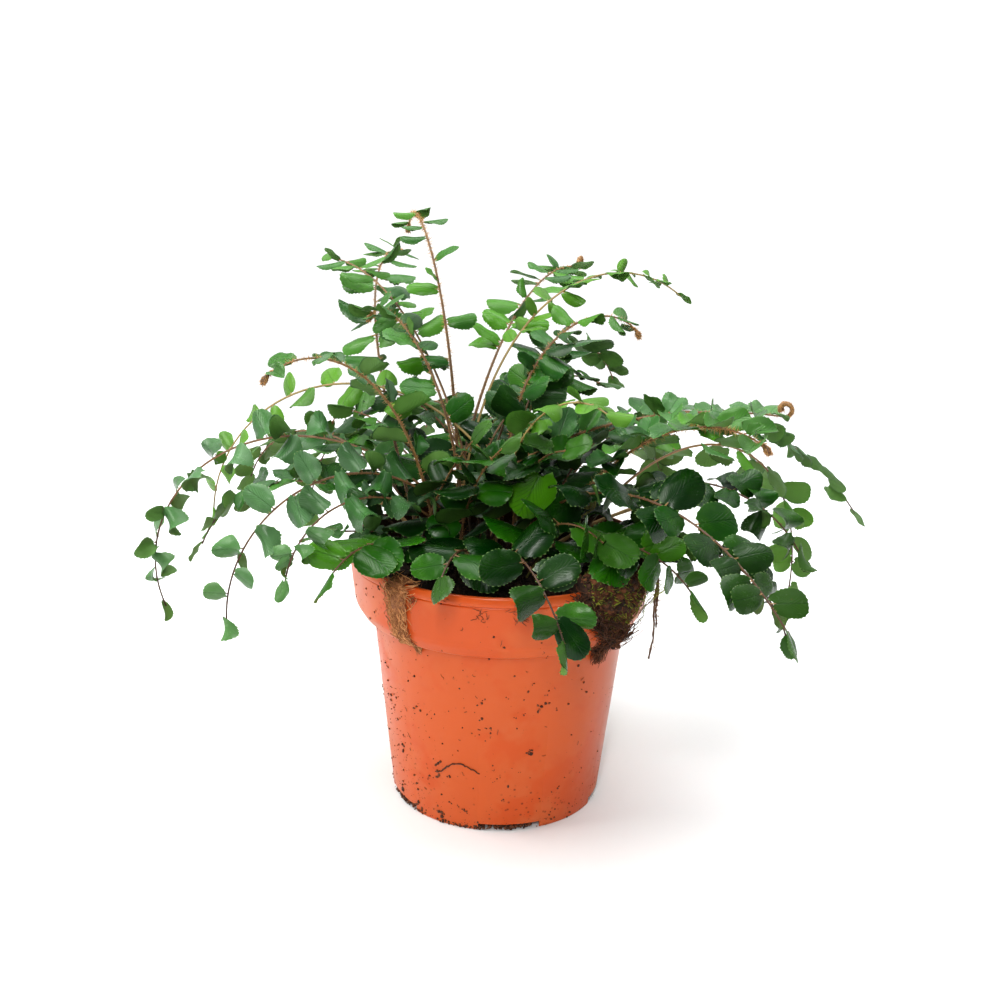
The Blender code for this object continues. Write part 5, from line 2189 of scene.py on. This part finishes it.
    def bundle(self, growth: Growth, fibres: Fibres, route: tuple) -> None:
        """Adds curly fibres gathered into a tuft that narrows as it hangs.

        Args:
            growth: The tuft's mesh.
            fibres: How many, and how they look.
            route: Heading, height and half-width in degrees at points down the tuft.
        """
        draw = np.random.default_rng(fibres.seed)
        stops = np.array(route)
        count, rings = fibres.count, 11
        down = np.linspace(0, 1, rings)
        start = draw.uniform(0, 0.86, count)
        end = np.minimum(1.0, start + draw.uniform(0.08, 0.42, count))
        share = start[:, None] + (end - start)[:, None] * down
        places = np.arange(len(stops)) / (len(stops) - 1)
        heading, height, half = (np.interp(share, places, stops[:, column]) for column in range(3))
        phase, beat = draw.uniform(0, math.tau, (2, count, 1)), draw.uniform(3, 11, (2, count, 1))
        sway = draw.normal(size=(count, 1)) * 0.55
        sway = sway + draw.normal(size=(count, 1)) * np.linspace(-0.7, 0.7, rings)
        sway += 0.32 * np.sin(phase[0] + beat[0] * down)
        heading = heading + sway * half
        height = height + draw.normal(size=(count, 1)) * 0.8 + 0.5 * np.sin(phase[1] + beat[1] * share)
        bulk = self.proud * half / stops[:, 2].max()
        off = 0.7 + bulk * abs(draw.normal(size=(count, 1))) * 0.75
        off = off + 0.35 * np.sin(phase[1] + beat[0] * down)
        over = np.clip((height - self.pot.height) / 2.5, 0, 1)
        radius = self.pot.wall_radius(np.minimum(height, self.pot.height)) + np.maximum(off, 0.3)
        radius = radius - over * 5.0 * draw.uniform(0.4, 1.4, (count, 1))
        paths = about_axis(radius, np.radians(heading), height)
        radii = fibres.thick * draw.uniform(0.6, 1.3, (count, 1)) * np.linspace(1.0, 0.45, rings)
        beside = unit(np.cross(paths[:, 0], [0, 0, 1.0]))
        growth.add_strands(paths, radii, 3, beside, fibres.slot, fibres.data(draw, count, rings * 3))

    def shoots(self, growth: Growth, fibres: Fibres, long: float) -> None:
        """Adds short shoots that stand out of the skin, in patches.

        Args:
            growth: The clump's mesh.
            fibres: How many are tried, and how they look.
            long: The longest, mm.
        """
        draw = np.random.default_rng(fibres.seed)
        places, outs = self.skin(draw, fibres.count)
        patch = np.array([noise.noise(Vector(place) * 0.22) for place in places])
        keep = patch > draw.uniform(-0.5, 0.25, fibres.count)
        places, outs = places[keep], outs[keep]
        many = len(places)
        way = unit(outs + draw.normal(size=(many, 3)) * 0.55 + np.array([0, 0, -0.15]))
        reach = long * draw.uniform(0.35, 1, many)
        curl = draw.normal(size=(many, 3)) * 0.4
        paths = curled(places, way, reach, curl, (-0.15, 0.35, 0.7, 1.0))
        radii = fibres.thick * np.tile([0.8, 1.0, 0.8, 0.25], (many, 1)) * draw.uniform(0.7, 1.3, (many, 1))
        beside = unit(np.cross(way, draw.normal(size=(many, 3))))
        growth.add_strands(paths, radii, 3, beside, fibres.slot, fibres.data(draw, many, 12))

    @staticmethod
    def join(
        body: bpy.types.Object, growth: Growth, materials: list, node: str, slot: str
    ) -> bpy.types.Object:
        """Joins the body and what grows on it into one piece that replaces a node.

        Args:
            body: The body.
            growth: What grows on it.
            materials: What both take, by slot.
            node: The node of the frame.
            slot: Its slot; not used.

        Returns:
            The piece.
        """
        rest = growth.built(body.name + "_rest", materials)
        body.data.materials.clear()
        for material in materials:
            body.data.materials.append(material)
        only(body)
        rest.select_set(True)
        bpy.ops.object.join()
        body.data.shade_smooth()
        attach(body, "root")
        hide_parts(node)
        return body


@dataclass
class HangingRoots:
    """Fine roots that hang free beside the pot, with side rootlets."""

    heading: float = -17.0
    routes: tuple = (
        ((49, -3, 94.9), (55.5, -2, 95.6), (57, -1, 104.0), (61, 0, 104.2), (62.2, 0.6, 96), (61.6, 1.2, 84),
         (62.4, 0.4, 73), (61.2, -0.6, 63)),
        ((57.2, -1.1, 103.9), (61, -3, 104.1), (62.3, -4.2, 95), (61.4, -4.8, 84), (62.4, -3.8, 75)),
    )
    rings: int = 40
    rootlets: int = 26  # on each

    def build(self, material: bpy.types.Material) -> bpy.types.Object:
        """Builds the roots.

        Args:
            material: Their material.

        Returns:
            The roots.
        """
        out, beside = direction(self.heading, 0), direction(self.heading - 90, 0)
        draw = np.random.default_rng(21)
        growth = Growth()
        for route in self.routes:
            places = np.array([out * r + beside * s + Vector((0, 0, h)) for r, s, h in route])
            reach = lengths_along(places)
            spots = np.linspace(0, reach[-1], self.rings)
            path = read_at(spots, reach, places)
            for _ in range(3):
                path[1:-1] = (path[:-2] + 2 * path[1:-1] + path[2:]) / 4
            wobble = np.cumsum(draw.normal(size=(self.rings, 3)) * 0.12, axis=0)
            path += wobble * np.minimum(1, spots / 20)[:, None] * np.array([1, 1, 0.2])
            radii = np.linspace(0.60, 0.34, self.rings) * draw.uniform(0.75, 1.3, self.rings)
            growth.add_strands(path[None], radii[None], 6, np.array(beside)[None], 0, DULL_ROOT)
            self.add_rootlets(growth, path, draw)
        made = growth.built("roots_hanging", [material])
        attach(made, "root")
        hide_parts("root_strands")
        return made

    def add_rootlets(self, growth: Growth, path: np.ndarray, draw: np.random.Generator) -> None:
        """Adds hair-fine side roots to a root.

        Args:
            growth: The roots' mesh.
            path: The root's places.
            draw: What they are drawn from.
        """
        count = self.rootlets
        start = path[draw.integers(14, self.rings - 2, count)]
        way = unit(draw.normal(size=(count, 3)) * np.array([1, 1, 0.4]) + np.array([0, 0, -0.7]))
        long = draw.uniform(1.5, 5, count)
        curl = draw.normal(size=(count, 3)) * 0.5
        paths = curled(start, way, long, curl, np.linspace(0, 1, 5))
        radii = np.tile([0.12, 0.1, 0.09, 0.07, 0.04], (count, 1))
        beside = unit(np.cross(way, draw.normal(size=(count, 3))))
        growth.add_strands(paths, radii, 3, beside, 0, PALE_ROOT)


@dataclass
class OldStalks:
    """Dead, broken stalks left in the crown, straw-coloured, with split ends."""

    routes: tuple = (
        ((15, 5), 4, (26, 16), 56), ((12, 9), 14, (40, 10), 52), ((18, 2), -6, (38, 22), 44),
        ((-26, 8), 168, (62, 30), 34), ((2, -12), -60, (70, 40), 22), ((-4, 24), 84, (60, 20), 30),
    )  # root, heading, first and last elevation in degrees, length in mm
    thick: float = 0.95
    rings: int = 14
    splinters: int = 7  # at each broken end

    def build(self, material: bpy.types.Material) -> bpy.types.Object:
        """Builds the stalks.

        Args:
            material: Their material.

        Returns:
            The stalks.
        """
        draw = np.random.default_rng(51)
        growth = Growth()
        for root, heading, slope, length in self.routes:
            spot, path = Vector((*root, SOIL_TOP - 3)), []
            for elevation in np.linspace(*slope, self.rings):
                path.append(tuple(spot))
                spot = spot + direction(heading + draw.normal() * 3, elevation) * length / self.rings
            path = np.array(path)
            radii = self.thick * np.linspace(1.0, 0.8, self.rings) * draw.uniform(0.85, 1.1, self.rings)
            beside = np.array(direction(heading + 90, 0))
            growth.add_strands(path[None], radii[None], 7, beside[None], 0, (0.6, 0, 0, 0))
            many = self.splinters
            ahead = unit(path[-1] - path[-3])
            way = unit(ahead + draw.normal(size=(many, 3)) * 0.22) * draw.uniform(3, 8, (many, 1))
            start = path[-1] - ahead + draw.normal(size=(many, 3)) * 0.3
            points, faces, uv = spikes(start, way, np.full(many, 0.42), draw.normal(size=(many, 3)))
            growth.add(points, faces, 0, uv, PALE_ROOT)
        made = growth.built("old_stalk_stubs", [material])
        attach(made, "root")
        return made


@dataclass
class Studio:
    """A plain pale floor and backdrop, soft light, and the camera at the photograph's angle."""

    lens_share: float = 1.452  # focal length beside the frame's width
    eye: tuple[float, float, float] = (-1.0, -538.5, 289.6)
    pitch: float = 17.4
    roll: float = 1.48
    sensor: float = 36.0
    floor_radius: float = 0.62
    front_light: float = 0.13
    back_light: float = 0.70
    seen_light: float = 1.20

    def camera(self) -> None:
        """Places the camera."""
        data = bpy.data.cameras.new("photo_camera")
        data.sensor_width = self.sensor
        data.lens = self.sensor * self.lens_share
        data.clip_start = 0.01
        made = bpy.data.objects.new("photo_camera", data)
        bpy.context.scene.collection.objects.link(made)
        pitch, roll = math.radians(self.pitch), math.radians(self.roll)
        ahead = Vector((0, math.cos(pitch), -math.sin(pitch)))
        level_up = Vector((0, math.sin(pitch), math.cos(pitch)))
        right = math.cos(roll) * Vector((1, 0, 0)) + math.sin(roll) * level_up
        up = math.cos(roll) * level_up - math.sin(roll) * Vector((1, 0, 0))
        spot = Vector(self.eye) * MM
        made.matrix_world = Matrix(
            (
                (right.x, up.x, -ahead.x, spot.x),
                (right.y, up.y, -ahead.y, spot.y),
                (right.z, up.z, -ahead.z, spot.z),
                (0, 0, 0, 1),
            )
        )
        bpy.context.scene.camera = made

    def lamp(self, name: str, spot: tuple, aim: tuple, size: tuple, power: float, colour: tuple) -> None:
        """Adds one soft rectangular light.

        Args:
            name: Its name.
            spot: Where it stands, in metres.
            aim: What it points at.
            size: Its width and height.
            power: Its power in watts.
            colour: Its colour.
        """
        data = bpy.data.lights.new(name, "AREA")
        data.shape = "RECTANGLE"
        data.size, data.size_y = size
        data.energy = power
        data.color = colour
        made = bpy.data.objects.new(name, data)
        bpy.context.scene.collection.objects.link(made)
        made.location = spot
        made.rotation_euler = (Vector(aim) - Vector(spot)).to_track_quat("-Z", "Y").to_euler()

    def build(self) -> None:
        """Builds the floor, the light and the camera."""
        scene = bpy.context.scene
        deselect_all()
        bpy.ops.mesh.primitive_circle_add(vertices=128, radius=self.floor_radius, fill_type="NGON")
        floor = bpy.context.object
        floor.name = "studio_floor"
        tree = ShaderTree(bpy.data.materials.new("studio_floor_white"))
        floor.data.materials.append(tree.finish({"Base Color": (0.79, 0.80, 0.81, 1), "Roughness": 0.7}))
        self.surroundings()
        self.lamp("window_key", (-1.05, -0.05, 1.1), (0, 0, 0.12), (0.9, 0.9), 17.5, (1.0, 0.985, 0.95))
        self.lamp("overhead", (0.1, 0.35, 1.3), (0, 0, 0.12), (1.2, 0.9), 15, (1.0, 1.0, 1.0))
        self.lamp("front_window", (-0.12, -1.35, 0.95), (0, 0, 0.12), (0.22, 0.7), 13.5, (1.0, 0.995, 0.98))
        scene.view_settings.view_transform = "Standard"
        scene.view_settings.look = "Medium High Contrast"
        self.camera()

    def surroundings(self) -> None:
        """A white room that lights the plant more from behind and overhead than from the front."""
        world = bpy.data.worlds.new("studio_world")
        bpy.context.scene.world = world
        tree = ShaderTree(world)
        _, behind, above = tree.split(tree.node("ShaderNodeTexCoord"))
        lighter = behind.smooth(-0.35, 0.45).larger(above.smooth(0.42, 1.0))
        limits = {"Value": lighter, "To Min": self.front_light, "To Max": self.back_light}
        strength = tree.node("ShaderNodeMapRange", {}, limits)
        lit = {"Color": (0.985, 0.995, 1.0, 1), "Strength": strength}
        light = tree.node("ShaderNodeBackground", {}, lit)
        plain = tree.node("ShaderNodeBackground", {}, {"Strength": self.seen_light})
        seen = tree.node("ShaderNodeLightPath")
        either = tree.node("ShaderNodeMixShader", {}, {0: seen, 1: light, 2: plain})
        tree.node("ShaderNodeOutputWorld", {}, {0: either})


# heading in degrees, height in mm and coarseness of the larger specks of peat on the pot's wall
DIRT_MARKS = (
    (-121, 25.3, 3), (-121, 20.3, 4), (-114, 22.1, 2), (-119, 27.6, 2), (-135, 13.3, 3), (-149, 9.2, 2),
    (-150, 2.4, 4), (-135, 5.1, 3), (-132, 1.0, 3), (-121, 4.9, 4), (-114, 10.1, 2), (-106, 8.8, 3),
    (-118, 3.1, 3), (-97, 56.9, 2), (-99, 55.1, 1), (-97, 49.8, 2), (-98, 45.2, 1), (-95, 45.8, 1),
    (-93, 45.1, 2), (-86, 59.3, 1), (-77, 61.0, 2), (-75, 64.1, 1), (-68, 59.3, 1), (-70, 55.4, 3),
    (-66, 55.3, 1), (-62, 52.2, 1), (-71, 52.7, 2), (-78, 51.6, 1), (-82, 50.6, 1), (-56, 53.1, 1),
    (-72, 35.6, 3), (-75, 34.3, 2), (-91, 29.6, 1), (-92, 87.4, 1), (-112, 79.1, 1), (-88, 82.8, 1),
    (-139, 98.4, 2), (-144, 86.2, 1), (-154, 52.7, 1), (-151, 50.8, 1), (-167, 44.2, 1), (-153, 44.3, 1),
    (-150, 41.9, 1), (-147, 38.4, 1), (-143, 32.2, 1), (-145, 26.3, 3), (-131, 49.2, 1), (-45, 55.8, 1),
    (-156, 46.0, 1),
)
# heading and height along the dead rootlet that sticks to the wall
STUCK_ROOT = (
    (-121, 23.3), (-118, 23.6), (-115, 26.3), (-111, 28.7), (-107, 28.9), (-104, 28.1), (-101, 26.9),
    (-98, 25.8),
)
# heading, height and spread of the tangled fibres on the collar
FIBRE_TANGLES = ((-96, 95.5, 1.3), (-83, 98.0, 1.2), (-123, 97.0, 1.0), (-112, 101.5, 1.2), (-82, 94.5, 0.6))
MOSS_FROM, MOSS_TO, MOSS_LOWEST, MOSS_PROUD = -61.0, -33.0, 79.0, 6.0  # the two headings, and mm
FIBRE_FROM, FIBRE_TO, FIBRE_LOWEST, FIBRE_PROUD = -131.5, -125.0, 86.0, 1.5
# heading, height and half-width in degrees down each tuft of fibres
COIR_ROUTE = (
    (-127, 104.5, 4.6), (-128.5, 101, 3.9), (-129.5, 92, 2.9), (-129, 84, 2.4), (-127.5, 79, 1.8),
    (-125.5, 74.5, 0.9),
)
MOSS_TAIL = ((-51, 101, 8), (-48, 93, 7), (-45, 86, 6), (-43, 80, 4.4), (-42.5, 75, 3.0), (-43, 69, 1.8))
MOSS_EDGE = ((-63, 104.5, 2.5), (-60.5, 100, 2.2), (-57, 94, 2.0), (-53, 88, 2.0), (-49, 82, 1.6))
MOSS_SIDE = ((-35, 104.5, 3), (-34, 100, 3), (-36, 94, 2.4), (-40, 86, 2))


def triangles(made: bpy.types.Object) -> int:
    """How many triangles a piece has."""
    return sum(len(face.vertices) - 2 for face in made.data.polygons)


def report(made: bpy.types.Object) -> None:
    """Logs a finished piece."""
    log.info("%s: %d triangles", made.name, triangles(made))


def build_moss_clump(pot: Pot, crumbs: Crumbs) -> bpy.types.Object:
    """Builds the clump of moss and peat that sits on the rim at the front right.

    Args:
        pot: The pot.
        crumbs: The lumps to copy.

    Returns:
        The clump.
    """
    peat = EarthFinish("rim_peat", (0.006, 0.003, 0.002, 1), (0.165, 0.060, 0.022, 1), 700.0, uses_tint=True)
    moss = EarthFinish("rim_moss", (0.045, 0.055, 0.009, 1), (0.300, 0.330, 0.035, 1), 900.0, uses_tint=True)
    clump = RimGrowth(pot, MOSS_FROM, MOSS_TO, MOSS_LOWEST, MOSS_PROUD, narrow=17.0)
    body = clump.body("moss_and_peat_clump", 2.6)
    growth = Growth()
    draw = np.random.default_rng(36)
    lumps, grains = 1500, 160
    places, outs = clump.skin(draw, lumps)
    crumbs.scatter(growth, places + outs * 0.2, 0.35 + 1.5 * draw.uniform(0, 1, lumps) ** 3, 37)
    around = -42.5 + draw.normal(size=grains) * 2.2
    clod = pot.on_wall(around, 80 + draw.normal(size=grains) * 2.6, 2.2)
    clod = clod + draw.normal(size=(grains, 3)) * 0.8
    crumbs.scatter(growth, clod, draw.uniform(0.5, 1.5, grains), 39)
    clump.shoots(growth, Fibres(1500, 0, 31, 0.17), 2.6)
    clump.shoots(growth, Fibres(2200, 1, 32, 0.20), 2.4)
    clump.hanging(growth, Fibres(220, 0, 33, 0.20, (0.0, 0.9)), 5.0, 9.0)
    clump.bundle(growth, Fibres(420, 0, 34, 0.22), MOSS_TAIL)
    clump.bundle(growth, Fibres(120, 1, 35, 0.16, (0.2, 1.0)), MOSS_SIDE)
    clump.bundle(growth, Fibres(150, 0, 38, 0.24, (0.0, 0.6)), MOSS_EDGE)
    return clump.join(body, growth, [peat.material(), moss.material()], "moss_clump", "moss_and_peat")


def build_coir_tuft(pot: Pot) -> bpy.types.Object:
    """Builds the tuft of coir fibre that hangs over the rim at the front left.

    Args:
        pot: The pot.

    Returns:
        The tuft.
    """
    coir = EarthFinish("coir", (0.170, 0.058, 0.022, 1), (0.720, 0.360, 0.150, 1), 900.0, 0.8, True)
    tuft = RimGrowth(pot, FIBRE_FROM, FIBRE_TO, FIBRE_LOWEST, FIBRE_PROUD, stations=14)
    body = tuft.body("coir_tuft", 0.9)
    growth = Growth()
    tuft.bundle(growth, Fibres(560, 0, 41, 0.19), COIR_ROUTE)
    tuft.shoots(growth, Fibres(260, 0, 42, 0.13, (0.3, 1.0)), 2.0)
    return tuft.join(body, growth, [coir.material()], "fibre_tuft", "coir_fibre")


def main() -> None:
    """Builds the whole scene, part by part, and reports each piece."""
    logging.basicConfig(level=logging.INFO, format="%(message)s")
    Studio().build()
    crumbs = Crumbs()
    pot = Pot(PotFinish())
    report(pot.build())
    report(GrowingMedium(pot).build(crumbs))
    specks = EarthFinish("peat_specks", (0.040, 0.014, 0.007, 1), (0.170, 0.062, 0.026, 1), 700.0, 0.8, True)
    report(pot.build_dirt(crumbs, specks.material()))
    report(build_moss_clump(pot, crumbs))
    report(build_coir_tuft(pot))
    root = EarthFinish("root_skin", (0.030, 0.015, 0.009, 1), (0.330, 0.190, 0.095, 1), 300.0, 0.7, True)
    report(HangingRoots().build(root.material()))
    straw = EarthFinish("dead_stalk", (0.230, 0.120, 0.045, 1), (0.620, 0.430, 0.210, 1), 260.0, 0.7, True)
    report(OldStalks().build(straw.material()))
    finishes = (LeafFinish().material(), StalkFinish().material(), BristleFinish().material())
    FinePlant(LeafPattern(), *finishes).build()


if __name__ == "__main__":
    main()
